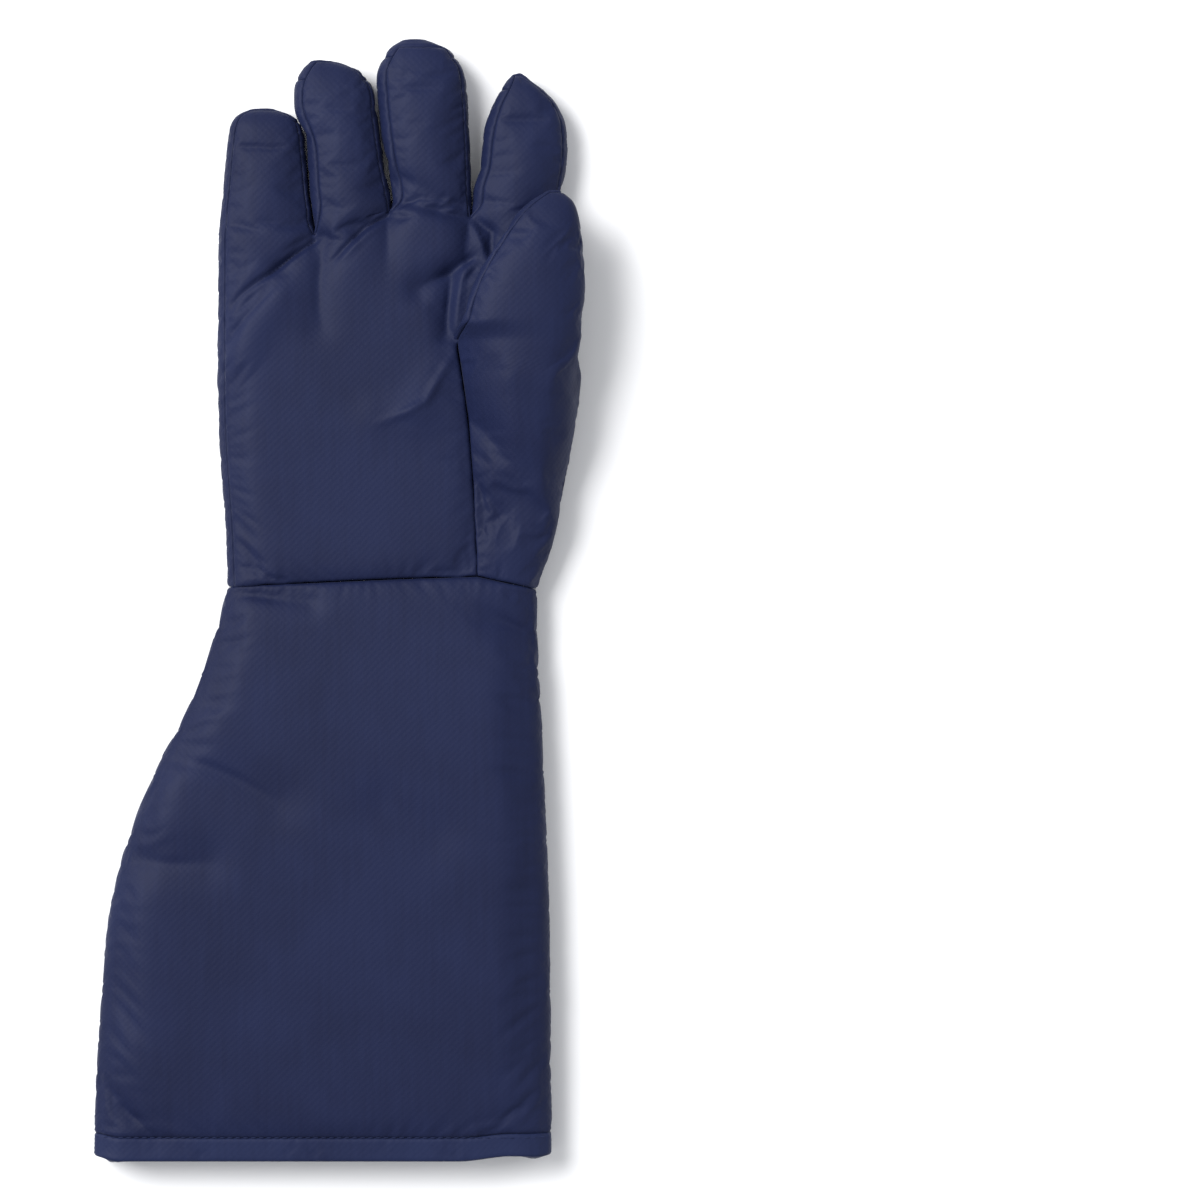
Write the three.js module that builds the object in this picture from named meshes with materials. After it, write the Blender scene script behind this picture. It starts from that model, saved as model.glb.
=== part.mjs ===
import * as THREE from "three";

// An elbow-length cryogenic glove for the right hand, lying on its back with the palm up.
// Lengths are in millimetres. X runs across the hand toward the thumb, Y toward the
// fingertips and Z up. The glove is drawn from the middle of its wrist seam, and at the end
// the whole is moved so that the middle of its underside is at the origin.

// Driving sizes of the cloth
const padding = 5;
const hemThickness = 5.6;
const seamGap = 0.4;

// Driving sizes of the gauntlet, the flared sleeve below the wrist
const wristWidth = 143;
const gauntletLength = 268.5;
const openEndWidth = 212;
const openEndShift = -27.5;
const hemDepth = 11;
const gauntletHeight = 25;
const wristSeamRise = 5;
const wristSeamReach = 42;

// Driving sizes of the hand
const palmWidth = 158.7;
const palmLength = 169;
const handHeight = 21;
const sideRadius = 16;
const outerSeamInset = 3;
const stripSeamInset = 4.4;
const hiddenSeamInset = 1.6;
const littleLength = 58.9;
const ringLength = 76;
const middleLength = 81.5;
const indexLength = 65.5;
const fingerHeight = 22;

// Driving sizes of the thumb, which is folded over the root of the index finger
const thumbLength = 179.5;
const thumbCrotch = 111;
const openingLap = 1.65;
const archFadeStart = 20;
const archFadeEnd = 1;
const thumbHeight = 21.2;
const thumbSideRadius = 15;
const thumbSeamInset = 3.2;
const sideSeamHeight = 7.6;

// Shape numbers: the exponent of a padded section, how far its underside is pressed flat,
// and the angles in degrees of the seams under the fingers and of the thumb's own seams
const roundness = 2.5;
const pressedFlat = 1.12;
const backSeamAngle = 40;
const thumbUnderAngle = 30;

// Mesh counts: quads across a finger's front and back, down a side, and the rows
const acrossFinger = 5;
const downSide = 3;
const palmRows = 17;
const thumbRow = 11;
const acrossGauntlet = 16;
const gauntletRows = 17;
const hemRows = 2;
const acrossThumb = 10;
const underThumb = 6;

// Lines that run up the palm to the finger crotches, a row for each height.
// at is a share of the palm's length, the others are shares of its width from the middle
// of the wrist. third is also the seam of the thumb, up to the thumb's crotch.
const palmLines = [
  { at: 0.0, outer: -0.4505, first: -0.207, second: 0.0365, third: 0.28, thumbSide: 0.4505 },
  { at: 0.15, outer: -0.456, first: -0.205, second: 0.03, third: 0.273, thumbSide: 0.503 },
  { at: 0.4, outer: -0.474, first: -0.203, second: 0.024, third: 0.254, thumbSide: 0.56 },
  { at: 0.56, outer: -0.479, first: -0.2, second: 0.021, third: 0.233, thumbSide: 0.576 },
  { at: 0.657, outer: -0.4795, first: -0.199, second: 0.02, third: 0.219, thumbSide: 0.557 },
  { at: 0.78, outer: -0.479, first: -0.198, second: 0.019, third: 0.234, thumbSide: 0.538 },
  { at: 1.0, outer: -0.477, first: -0.196, second: 0.0176, third: 0.2577, thumbSide: 0.5205 },
];
const lineNames = ["outer", "first", "second", "third", "thumbSide"];

// Where each line ends: wrist is a share of the wrist seam's rise, crotch of the palm's length
const lineEnds = {
  outer: { wrist: -0.4, crotch: 0.95 },
  first: { wrist: 0.0, crotch: 0.95 },
  second: { wrist: 0.34, crotch: 1.01 },
  third: { wrist: 0.6, crotch: 1.0 },
  thumbSide: { wrist: -0.6, crotch: 1.01 },
};

// The fingers. width and root are shares of the palm's width, height is a share of the
// fingers' height, and lean is how far the tip stands to the side of the root, as a share of
// the finger's length. A row of sections: at is a share of the finger's length above its
// root, left and right are shares of half its width, high is a share of its height. The
// back panel's cap starts at the row tipSeamRow.
const fingers = [
  {
    name: "little", length: littleLength, width: 0.2394, height: 0.909, root: -0.3365, lean: -0.017,
    tipSeamRow: 8,
    sections: [
      { at: 0.1, left: 1.14, right: 1.12, high: 1.0 },
      { at: 0.21, left: 1.11, right: 1.09, high: 1.0 },
      { at: 0.35, left: 1.055, right: 1.035, high: 1.0 },
      { at: 0.52, left: 1.0, right: 1.0, high: 1.0 },
      { at: 0.68, left: 0.945, right: 0.955, high: 0.98 },
      { at: 0.82, left: 0.884, right: 0.91, high: 0.93 },
      { at: 0.9, left: 0.82, right: 0.83, high: 0.8 },
      { at: 0.96, left: 0.68, right: 0.62, high: 0.6 },
      { at: 1.0, left: 0.4, right: 0.26, high: 0.32 },
    ],
  },
  {
    name: "ring", length: ringLength, width: 0.2363, height: 1, root: -0.0895, lean: -0.1316,
    tipSeamRow: 8,
    sections: [
      { at: 0.09, left: 0.925, right: 1.04, high: 1.0 },
      { at: 0.2, left: 0.91, right: 1.04, high: 1.0 },
      { at: 0.34, left: 0.875, right: 0.99, high: 1.0 },
      { at: 0.52, left: 0.85, right: 0.975, high: 1.0 },
      { at: 0.69, left: 1.03, right: 0.98, high: 0.98 },
      { at: 0.812, left: 0.99, right: 0.985, high: 0.93 },
      { at: 0.885, left: 0.89, right: 0.88, high: 0.8 },
      { at: 0.95, left: 0.72, right: 0.68, high: 0.6 },
      { at: 1.0, left: 0.5, right: 0.12, high: 0.32 },
    ],
  },
  {
    name: "middle", length: middleLength, width: 0.2615, height: 1, root: 0.1374, lean: -0.0736,
    tipSeamRow: 8,
    sections: [
      { at: 0.085, left: 0.795, right: 0.96, high: 1.0 },
      { at: 0.18, left: 0.79, right: 0.975, high: 1.0 },
      { at: 0.3, left: 0.86, right: 1.0, high: 1.0 },
      { at: 0.5, left: 0.925, right: 1.026, high: 1.0 },
      { at: 0.7, left: 0.945, right: 1.035, high: 0.98 },
      { at: 0.823, left: 0.915, right: 0.998, high: 0.93 },
      { at: 0.903, left: 0.75, right: 0.845, high: 0.8 },
      { at: 0.96, left: 0.595, right: 0.66, high: 0.6 },
      { at: 1.0, left: 0.34, right: 0.24, high: 0.32 },
    ],
  },
  {
    name: "index", length: indexLength, width: 0.2457, height: 0.9545, root: 0.3891, lean: 0.0305,
    tipSeamRow: 7,
    sections: [
      { at: 0.09, left: 1.02, right: 1.075, high: 1.0 },
      { at: 0.2, left: 1.0, right: 1.085, high: 1.0 },
      { at: 0.334, left: 0.867, right: 1.15, high: 1.0 },
      { at: 0.49, left: 0.83, right: 1.165, high: 1.0 },
      { at: 0.653, left: 0.76, right: 1.1, high: 0.97 },
      { at: 0.795, left: 0.605, right: 0.88, high: 0.9 },
      { at: 0.895, left: 0.44, right: 0.58, high: 0.75 },
      { at: 0.965, left: 0.3, right: 0.27, high: 0.5 },
      { at: 1.0, left: 0.19, right: 0.08, high: 0.26 },
    ],
  },
];
const fingerRows = fingers[0].sections.length;
const stripEndRow = 6;

// Sections of the gauntlet. at is a share of its length below the wrist, left and right are
// shares of the way from the wrist's half width to the open end's, high is a share of its height.
const gauntletSections = [
  { at: 0.0, left: 0.0, right: 0.0, high: 0.84 },
  { at: 0.08, left: 0.085, right: 0.0, high: 0.9 },
  { at: 0.2, left: 0.26, right: 0.22, high: 0.97 },
  { at: 0.33, left: 0.545, right: 0.45, high: 1.0 },
  { at: 0.45, left: 0.75, right: 0.65, high: 1.0 },
  { at: 0.57, left: 0.88, right: 0.8, high: 1.0 },
  { at: 0.7, left: 0.935, right: 0.86, high: 1.0 },
  { at: 0.85, left: 0.98, right: 0.92, high: 0.98 },
  { at: 1.0, left: 1.0, right: 1.0, high: 0.92 },
];

// Sections of the thumb. at is a share of its length above the wrist, except that the row
// thumbFreeRow always lies at the crotch and the rows on each side are spaced out to it. left
// and right are shares of the palm's width, top is a share of the height of its own top. Up
// to the crotch there is no left, because the thumb's seam is the palm's third line.
const thumbSections = [
  { at: 0.0, right: 0.4505, top: 0.5 },
  { at: 0.139, right: 0.504, top: 0.575 },
  { at: 0.262, right: 0.53, top: 0.68 },
  { at: 0.384, right: 0.561, top: 0.8 },
  { at: 0.47, right: 0.574, top: 0.875 },
  { at: 0.53, right: 0.579, top: 0.925 },
  { at: 0.58, right: 0.583, top: 0.955 },
  { at: 0.621, right: 0.5855, top: 0.975 },
  { at: 0.68, left: 0.24, right: 0.591, top: 0.995 },
  { at: 0.741, left: 0.258, right: 0.597, top: 1.0 },
  { at: 0.8, left: 0.287, right: 0.595, top: 1.0 },
  { at: 0.85, left: 0.322, right: 0.59, top: 0.995 },
  { at: 0.9, left: 0.359, right: 0.582, top: 0.97 },
  { at: 0.947, left: 0.398, right: 0.572, top: 0.92 },
  { at: 0.977, left: 0.437, right: 0.557, top: 0.86 },
  { at: 1.0, left: 0.479, right: 0.525, top: 0.79 },
];
const thumbFreeRow = 7;
const thumbTipRow = 12;

// Main folds of the palm and of the roots of the fingers, a row for each straight stretch.
// Places are shares of the palm's width and length, wide and deep are shares of the hand's
// height. A fold with a negative depth stands up as a ridge.
const palmFolds = [
  { fromX: -0.2, fromY: 0.94, toX: -0.29, toY: 0.86, wide: 0.3, deep: 0.22 },
  { fromX: -0.29, fromY: 0.86, toX: -0.39, toY: 0.77, wide: 0.3, deep: 0.13 },
  { fromX: 0.01, fromY: 1.0, toX: -0.07, toY: 0.965, wide: 0.28, deep: 0.16 },
  { fromX: -0.07, fromY: 0.965, toX: -0.15, toY: 0.87, wide: 0.3, deep: 0.12 },
  { fromX: -0.165, fromY: 0.93, toX: -0.18, toY: 0.7, wide: 0.4, deep: 0.07 },
  { fromX: 0.25, fromY: 0.88, toX: 0.11, toY: 0.8, wide: 0.33, deep: 0.12 },
  { fromX: 0.2, fromY: 0.83, toX: 0.187, toY: 0.67, wide: 0.25, deep: 0.12 },
  { fromX: 0.03, fromY: 1.09, toX: 0.24, toY: 1.015, wide: 0.4, deep: 0.12 },
  { fromX: 0.31, fromY: 0.965, toX: 0.325, toY: 0.9, wide: 0.4, deep: 0.26 },
  { fromX: 0.17, fromY: 0.56, toX: 0.1, toY: 0.46, wide: 0.45, deep: -0.07 },
  { fromX: 0.1, fromY: 0.46, toX: -0.015, toY: 0.455, wide: 0.45, deep: -0.06 },
  { fromX: -0.3, fromY: 0.78, toX: -0.42, toY: 0.61, wide: 0.4, deep: -0.08 },
];

// Soft folds of the gauntlet. Places are shares of half the open end's width and of the
// gauntlet's length below the wrist, wide and deep are shares of its height.
const gauntletFolds = [
  { fromX: -0.62, fromY: -0.02, toX: -0.31, toY: -0.035, wide: 0.25, deep: 0.08 },
  { fromX: -0.91, fromY: -0.29, toX: -0.45, toY: -0.375, wide: 0.5, deep: 0.07 },
  { fromX: -1.1, fromY: -0.475, toX: -0.76, toY: -0.48, wide: 0.4, deep: 0.06 },
  { fromX: 0.02, fromY: -0.385, toX: 0.22, toY: -0.435, wide: 0.5, deep: 0.05 },
  { fromX: -1.2, fromY: -0.86, toX: -1.0, toY: -0.95, wide: 0.4, deep: 0.06 },
  { fromX: 0.5, fromY: -0.07, toX: 0.7, toY: -0.11, wide: 0.3, deep: 0.07 },
];

// Folds of the thumb, as shares of the palm's width and length and of the hand's height
const thumbFolds = [
  { fromX: 0.26, fromY: 0.45, toX: 0.42, toY: 0.3, wide: 0.45, deep: 0.1 },
  { fromX: 0.29, fromY: 0.28, toX: 0.35, toY: 0.19, wide: 0.35, deep: 0.08 },
];

const radians = Math.PI / 180;

function mix(a, b, share) {
  return a + (b - a) * share;
}

function smooth(from, to, value) {
  const share = Math.min(1, Math.max(0, (value - from) / (to - from)));
  return share * share * (3 - 2 * share);
}

// A column of a table at any share along it, as a smooth curve through the rows
function sample(table, at, column) {
  let row = 0;
  while (row < table.length - 2 && table[row + 1].at < at) {
    row += 1;
  }
  const slope = (k) => {
    const low = table[Math.max(0, k - 1)];
    const high = table[Math.min(table.length - 1, k + 1)];
    return (high[column] - low[column]) / (high.at - low.at);
  };
  const start = table[row];
  const end = table[row + 1];
  const span = end.at - start.at;
  const s = Math.min(1, Math.max(0, (at - start.at) / span));
  const keepStart = 2 * s ** 3 - 3 * s ** 2 + 1;
  const leaveStart = s ** 3 - 2 * s ** 2 + s;
  const reachEnd = s ** 3 - s ** 2;
  return (
    keepStart * start[column] + leaveStart * span * slope(row) +
    (1 - keepStart) * end[column] + reachEnd * span * slope(row + 1)
  );
}

// How deep all the folds of a table are at a place
function foldDepth(folds, x, y, unitX, unitY, unitHeight) {
  let depth = 0;
  for (const fold of folds) {
    const ax = fold.fromX * unitX;
    const ay = fold.fromY * unitY;
    const bx = fold.toX * unitX - ax;
    const by = fold.toY * unitY - ay;
    const along = Math.min(1, Math.max(0, ((x - ax) * bx + (y - ay) * by) / (bx * bx + by * by)));
    const away = Math.hypot(x - ax - along * bx, y - ay - along * by);
    depth += fold.deep * unitHeight * Math.exp(-((away / (fold.wide * unitHeight)) ** 2));
  }
  return depth;
}

// Powers of a cosine or sine that keep its sign, which make a padded section
function power(value) {
  return Math.sign(value) * Math.abs(value) ** (2 / roundness);
}

// Angle at which a padded edge of a given radius lies a given inset inside its outline
function insetAngle(inset, radius) {
  const share = Math.min(inset / radius, 0.6);
  return Math.acos((1 - share) ** (roundness / 2));
}

// Height above the middle of a section, as a share of half its height
function sectionRise(angle) {
  const rise = power(Math.sin(angle));
  return rise >= 0 ? rise : Math.max(-1, rise * pressedFlat);
}

// How far a section's top lies below its full height near an edge, as a share of half the height
function edgeDrop(distance, radius) {
  const reach = Math.min(1, Math.max(0, 1 - distance / radius));
  return 1 - (1 - reach ** roundness) ** (1 / roundness);
}

// How far a section's underside is lifted near an edge, as a share of half the height
function edgeLift(distance) {
  return Math.max(0, 1 - pressedFlat * (1 - edgeDrop(distance, sideRadius)));
}

// The wrist seam rises toward the seam of the thumb
function wristSeamY(x) {
  const knots = lineNames.map((name) => ({
    x: palmLines[0][name] * palmWidth,
    y: lineEnds[name].wrist * wristSeamRise,
  }));
  for (let k = 1; k < knots.length; k += 1) {
    if (x <= knots[k].x || k === knots.length - 1) {
      const share = (x - knots[k - 1].x) / (knots[k].x - knots[k - 1].x);
      return mix(knots[k - 1].y, knots[k].y, Math.min(1, Math.max(0, share)));
    }
  }
  return 0;
}

// A skin is a set of points and of four-sided faces, each face labelled with its panel
class Skin {
  constructor() {
    this.points = [];
    this.faces = [];
    this.known = new Map();
  }

  point(x, y, z) {
    const key = `${x.toFixed(4)} ${y.toFixed(4)} ${z.toFixed(4)}`;
    if (!this.known.has(key)) {
      this.known.set(key, this.points.length);
      this.points.push(new THREE.Vector3(x, y, z));
    }
    return this.known.get(key);
  }

  face(label, a, b, c, d) {
    const corners = [a, b, c, d].filter((corner, k, all) => all.indexOf(corner) === k);
    if (corners.length > 2) {
      this.faces.push({ label, corners });
    }
  }

  // Rows of points joined by faces; each row is a list of point numbers
  strip(label, lower, upper) {
    for (let k = 0; k + 1 < lower.length; k += 1) {
      this.face(label, lower[k], lower[k + 1], upper[k + 1], upper[k]);
    }
  }

  // A ring of points closed by a fan round its middle
  cap(label, ring) {
    const middle = new THREE.Vector3();
    for (const corner of ring) {
      middle.add(this.points[corner]);
    }
    middle.divideScalar(ring.length);
    const hub = this.point(middle.x, middle.y, middle.z);
    for (let k = 0; k < ring.length; k += 1) {
      this.face(label, ring[k], ring[(k + 1) % ring.length], hub, hub);
    }
  }

  // Outward direction at each point, averaged over the faces that meet there
  directions() {
    const sums = this.points.map(() => new THREE.Vector3());
    for (const { corners } of this.faces) {
      const normal = faceDirection(corners.map((corner) => this.points[corner]));
      for (const corner of corners) {
        sums[corner].add(normal);
      }
    }
    return sums.map((sum) => sum.normalize());
  }
}

// Direction of a face, as long as twice its area
function faceDirection(corners) {
  const sum = new THREE.Vector3();
  for (let k = 0; k < corners.length; k += 1) {
    sum.add(new THREE.Vector3().crossVectors(corners[k], corners[(k + 1) % corners.length]));
  }
  return sum;
}

// The panel of one label as a closed solid: its skin, the same skin moved inward by the
// thickness of the cloth, and a wall along its edge, drawn back by half the seam gap
function panelSolid(skin, label, thickness) {
  const faces = skin.faces.filter((face) => face.label === label);
  const outward = skin.directions();
  const edges = new Map();
  for (const { corners } of faces) {
    for (let k = 0; k < corners.length; k += 1) {
      const from = corners[k];
      const to = corners[(k + 1) % corners.length];
      if (!edges.delete(`${to} ${from}`)) {
        edges.set(`${from} ${to}`, { from, to });
      }
    }
  }
  const drawn = new Map();
  for (const { from, to } of edges.values()) {
    const along = new THREE.Vector3().subVectors(skin.points[to], skin.points[from]).normalize();
    for (const corner of [from, to]) {
      const into = new THREE.Vector3().crossVectors(outward[corner], along).normalize();
      drawn.set(corner, [...(drawn.get(corner) ?? []), into]);
    }
  }
  const numbers = new Map();
  const outer = [];
  const inner = [];
  for (const { corners } of faces) {
    for (const corner of corners) {
      if (!numbers.has(corner)) {
        numbers.set(corner, outer.length);
        const place = skin.points[corner].clone();
        for (const into of drawn.get(corner) ?? []) {
          const [one, two] = drawn.get(corner);
          const mitre = Math.max(0.7, 1 + one.dot(two ?? one));
          place.addScaledVector(into, seamGap / 2 / mitre);
        }
        outer.push(place);
        inner.push(place.clone().addScaledVector(outward[corner], -thickness));
      }
    }
  }
  const positions = [...outer, ...inner].flatMap((place) => [place.x, place.y, Math.max(0, place.z)]);
  const index = [];
  const count = outer.length;
  for (const { corners } of faces) {
    const own = corners.map((corner) => numbers.get(corner));
    for (let k = 1; k + 1 < own.length; k += 1) {
      index.push(own[0], own[k], own[k + 1]);
      index.push(own[0] + count, own[k + 1] + count, own[k] + count);
    }
  }
  for (const { from, to } of edges.values()) {
    const a = numbers.get(from);
    const b = numbers.get(to);
    if (from < to) {
      index.push(a, a + count, b + count, a, b + count, b);
    } else {
      index.push(a, a + count, b, a + count, b + count, b);
    }
  }
  const geometry = new THREE.BufferGeometry();
  geometry.setAttribute("position", new THREE.Float32BufferAttribute(positions, 3));
  geometry.setIndex(index);
  geometry.computeVertexNormals();
  return geometry;
}

// Share of the palm's length at which a row lies. The row thumbRow ends the opening for the
// thumb, a little below the thumb's crotch, and the others are spaced evenly on each side.
function rowShare(row) {
  const opening = (thumbCrotch - openingLap) / palmLength;
  if (row < thumbRow) {
    return (opening * row) / thumbRow;
  }
  return mix(opening, 1, (row - thumbRow) / (palmRows - thumbRow));
}

// Where a line of the palm is at a row, with the height along the palm at which it ends
function linePlace(name, row) {
  const x = sample(palmLines, rowShare(row), name) * palmWidth;
  const end = lineEnds[name].crotch * palmLength;
  return { x, y: rowY(x, row, end), end };
}

// How far along the palm a row lies at a place across it
function rowY(x, row, end) {
  return mix(wristSeamY(x), end, rowShare(row));
}

// How far the fingers are already parted at a row of the palm, from 0 to 1
function parting(row) {
  return smooth(palmRows - 6, palmRows, row) ** 2;
}

// A section of the hand between two of its lines, or of one finger above its crotches.
// It holds the outline's left and right ends, the edges' radii and the heights.
function handSection(column, row) {
  const finger = fingers[column];
  if (row > palmRows) {
    const { at, left, right, high } = finger.sections[row - palmRows - 1];
    const low = linePlace(lineNames[column], palmRows).y;
    const other = linePlace(lineNames[column + 1], palmRows).y;
    const middle = finger.root * palmWidth + finger.lean * finger.length * at;
    const width = finger.width * palmWidth;
    const height = finger.height * fingerHeight;
    const y = mix(low, other, 0.5) + finger.length * at;
    return {
      left: { x: middle - (left * width) / 2, y },
      right: { x: middle + (right * width) / 2, y },
      middle: height / 2,
      half: (height * high) / 2,
      free: true,
    };
  }
  return {
    left: linePlace(lineNames[column], row),
    right: linePlace(lineNames[column + 1], row),
    middle: handHeight / 2,
    half: handHeight / 2,
    free: false,
  };
}

function seamInset(column, side) {
  if (side === "left") {
    return column === 0 ? outerSeamInset : stripSeamInset;
  }
  return hiddenSeamInset;
}

// A point of a free finger's section at an angle, 0 on the thumb's side and 90 degrees on top
function fingerPoint(section, angle) {
  const across = (power(Math.cos(angle)) + 1) / 2;
  return [
    mix(section.left.x, section.right.x, across),
    mix(section.left.y, section.right.y, across),
    section.middle + section.half * sectionRise(angle),
  ];
}

// Points across the front of a column at a row, from its left seam to its right seam
function frontRow(skin, column, row) {
  const section = handSection(column, row);
  const width = section.right.x - section.left.x;
  const places = [];
  for (let k = 0; k <= acrossFinger; k += 1) {
    const share = k / acrossFinger;
    if (section.free) {
      const leftAngle = Math.PI - insetAngle(seamInset(column, "left"), width / 2);
      const rightAngle = insetAngle(seamInset(column, "right"), width / 2);
      places.push(fingerPoint(section, mix(leftAngle, rightAngle, share)));
      continue;
    }
    const start = column === 0 ? outerSeamInset : 0;
    const end = column === 3 ? hiddenSeamInset : 0;
    const x = mix(section.left.x + start, section.right.x - end, share);
    const y = rowY(x, row, mix(section.left.end, section.right.end, share));
    const part = parting(row);
    const fromLeft = x - section.left.x + (column === 0 ? 0 : outerSeamInset);
    const fromRight = section.right.x - x + (column === 3 ? 0 : outerSeamInset);
    const dropLeft = edgeDrop(fromLeft, sideRadius) * (column === 0 ? 1 : part);
    const dropRight = edgeDrop(fromRight, sideRadius) * (column === 3 ? 1 : part);
    const rise = fingers[column].height * fingerHeight - handHeight;
    const swell = rise * part * Math.sin(Math.PI * share);
    places.push([x, y, section.middle + section.half * (1 - dropLeft - dropRight) + swell]);
  }
  return places.map(([x, y, z]) => {
    const depth = foldDepth(palmFolds, x, y, palmWidth, palmLength, handHeight);
    return skin.point(x, y, z - depth * smooth(0.55, 0.95, z / handHeight));
  });
}

// Points across the back of a column at a row, from its right seam to its left seam
function backRow(skin, column, row) {
  const section = handSection(column, row);
  const seam = backSeamAngle * radians;
  const seamInsetShare = 1 - power(Math.cos(seam));
  const places = [];
  for (let k = 0; k <= acrossFinger; k += 1) {
    const share = k / acrossFinger;
    if (section.free) {
      places.push(fingerPoint(section, mix(-seam, seam - Math.PI, share)));
      continue;
    }
    const part = parting(row);
    const hidden = sideRadius * seamInsetShare;
    const end = column === 3 ? hidden : 0;
    const start = column === 0 ? hidden : 0;
    const x = mix(section.right.x - end, section.left.x + start, share);
    const y = rowY(x, row, mix(section.right.end, section.left.end, share));
    const fromLeft = x - section.left.x + (column === 0 ? 0 : hidden);
    const fromRight = section.right.x - x + (column === 3 ? 0 : hidden);
    const liftLeft = edgeLift(fromLeft) * (column === 0 ? 1 : part);
    const liftRight = edgeLift(fromRight) * (column === 3 ? 1 : part);
    places.push([x, y, section.half * (liftLeft + liftRight)]);
  }
  return places.map(([x, y, z]) => skin.point(x, y, z));
}

// Angles down a side, from the front seam to the back seam. On the thumb's side the middle
// ones follow the seam of the thumb, which climbs to the front at the thumb's crotch.
function sideAngles(column, side, row, radius) {
  const top = insetAngle(seamInset(column, side), radius);
  const bottom = -backSeamAngle * radians;
  const angles = [];
  for (let k = 0; k <= downSide; k += 1) {
    angles.push(mix(top, bottom, k / downSide));
  }
  if (column === 3 && side === "right") {
    const climb = smooth(thumbRow - 2.5, thumbRow, row) * (1 - smooth(thumbRow, thumbRow + 5, row));
    const crest = mix(top, bottom, 0.5);
    const level = seamLevelAngle();
    angles[downSide - 1] = mix(level, crest, climb);
    for (let k = 1; k < downSide - 1; k += 1) {
      angles[k] = mix(top, angles[downSide - 1], k / (downSide - 1));
    }
  }
  return angles;
}

// Angle at which the hand's side has the height of the thumb's side seam
function seamLevelAngle() {
  const rise = (sideSeamHeight / (handHeight / 2) - 1) / pressedFlat;
  return -Math.asin((-rise) ** (roundness / 2));
}

// Points down one side of a column at a row, from the front seam to the back seam
function sideRow(skin, column, side, row, front, back) {
  const section = handSection(column, row);
  const sign = side === "left" ? -1 : 1;
  const outer = (column === 0 && side === "left") || (column === 3 && side === "right");
  if (!section.free && !outer) {
    return webPoints(skin, front, back);
  }
  const radius = section.free ? (section.right.x - section.left.x) / 2 : sideRadius;
  const edge = section[side];
  const points = sideAngles(column, side, row, radius).map((angle) => {
    if (section.free) {
      return skin.point(...fingerPoint(section, sign > 0 ? angle : Math.PI - angle));
    }
    const x = edge.x - sign * radius * (1 - power(Math.cos(angle)));
    return skin.point(x, rowY(x, row, edge.end), section.middle + section.half * sectionRise(angle));
  });
  points[0] = front;
  points[points.length - 1] = back;
  return points;
}

// Points down the web between two fingers, from the front crotch to the back crotch
function webPoints(skin, front, back) {
  const points = [front];
  for (let k = 1; k < downSide; k += 1) {
    const place = skin.points[front].clone().lerp(skin.points[back], k / downSide);
    points.push(skin.point(place.x, place.y, place.z));
  }
  points.push(back);
  return points;
}

// The whole skin of the hand without the thumb, each face labelled with its panel
function handSkin() {
  const skin = new Skin();
  const lastRow = palmRows + fingerRows;
  for (let column = 0; column < 4; column += 1) {
    let below = null;
    for (let row = 0; row <= lastRow; row += 1) {
      const front = frontRow(skin, column, row);
      const back = backRow(skin, column, row);
      const rightSide = sideRow(skin, column, "right", row, front[acrossFinger], back[0]);
      const leftSide = sideRow(skin, column, "left", row, front[0], back[acrossFinger]);
      if (below) {
        const beyond = row - palmRows;
        const frontLabel = beyond > fingers[column].tipSeamRow ? "back_panel" : "palm_panel";
        const overThumb = column === 3 && row <= thumbRow;
        skin.strip(overThumb ? "thumb_opening" : frontLabel, below.front, front);
        skin.strip("back_panel", below.back, back);
        if (column === 0 || beyond > 0) {
          const own = column === 0 || beyond > stripEndRow;
          const label = own ? "back_panel" : stripName(column - 1);
          skin.strip(label, [...below.leftSide].reverse(), [...leftSide].reverse());
        }
        if (column === 3 || beyond > 0) {
          const own = column === 3 || beyond > stripEndRow;
          const first = overThumb ? downSide - 1 : 0;
          const label = own ? "back_panel" : stripName(column);
          skin.strip(label, below.rightSide.slice(first), rightSide.slice(first));
          skin.strip("thumb_opening", below.rightSide.slice(0, first + 1), rightSide.slice(0, first + 1));
        }
      }
      if (row === lastRow) {
        const upLeft = [...leftSide].reverse().slice(1, -1);
        const ring = [...front, ...rightSide.slice(1), ...back.slice(1), ...upLeft];
        skin.cap("back_panel", ring);
      }
      below = { front, back, leftSide, rightSide };
    }
  }
  return skin;
}

// Name of the side strip between a finger and the next one toward the thumb
function stripName(column) {
  return `fourchette_${fingers[column].name}_${fingers[column + 1].name}`;
}

// How far the thumb has turned from an arch beside the palm into a free tube, from 0 to 1
function thumbFreedom(y) {
  return smooth(thumbCrotch - archFadeStart, thumbCrotch - archFadeEnd, y);
}

// Height of the thumb's side seam, which climbs over the edge of the hand at the crotch
function sideSeamZ(y) {
  return mix(sideSeamHeight, handHeight, thumbFreedom(y)) + 2 * seamGap;
}

// Height along the hand of a share of the thumb's length
function thumbLevel(at) {
  const freeAt = thumbSections[thumbFreeRow].at;
  if (at < freeAt) {
    return (thumbCrotch * at) / freeAt;
  }
  return mix(thumbCrotch, thumbLength, (at - freeAt) / (1 - freeAt));
}

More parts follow.
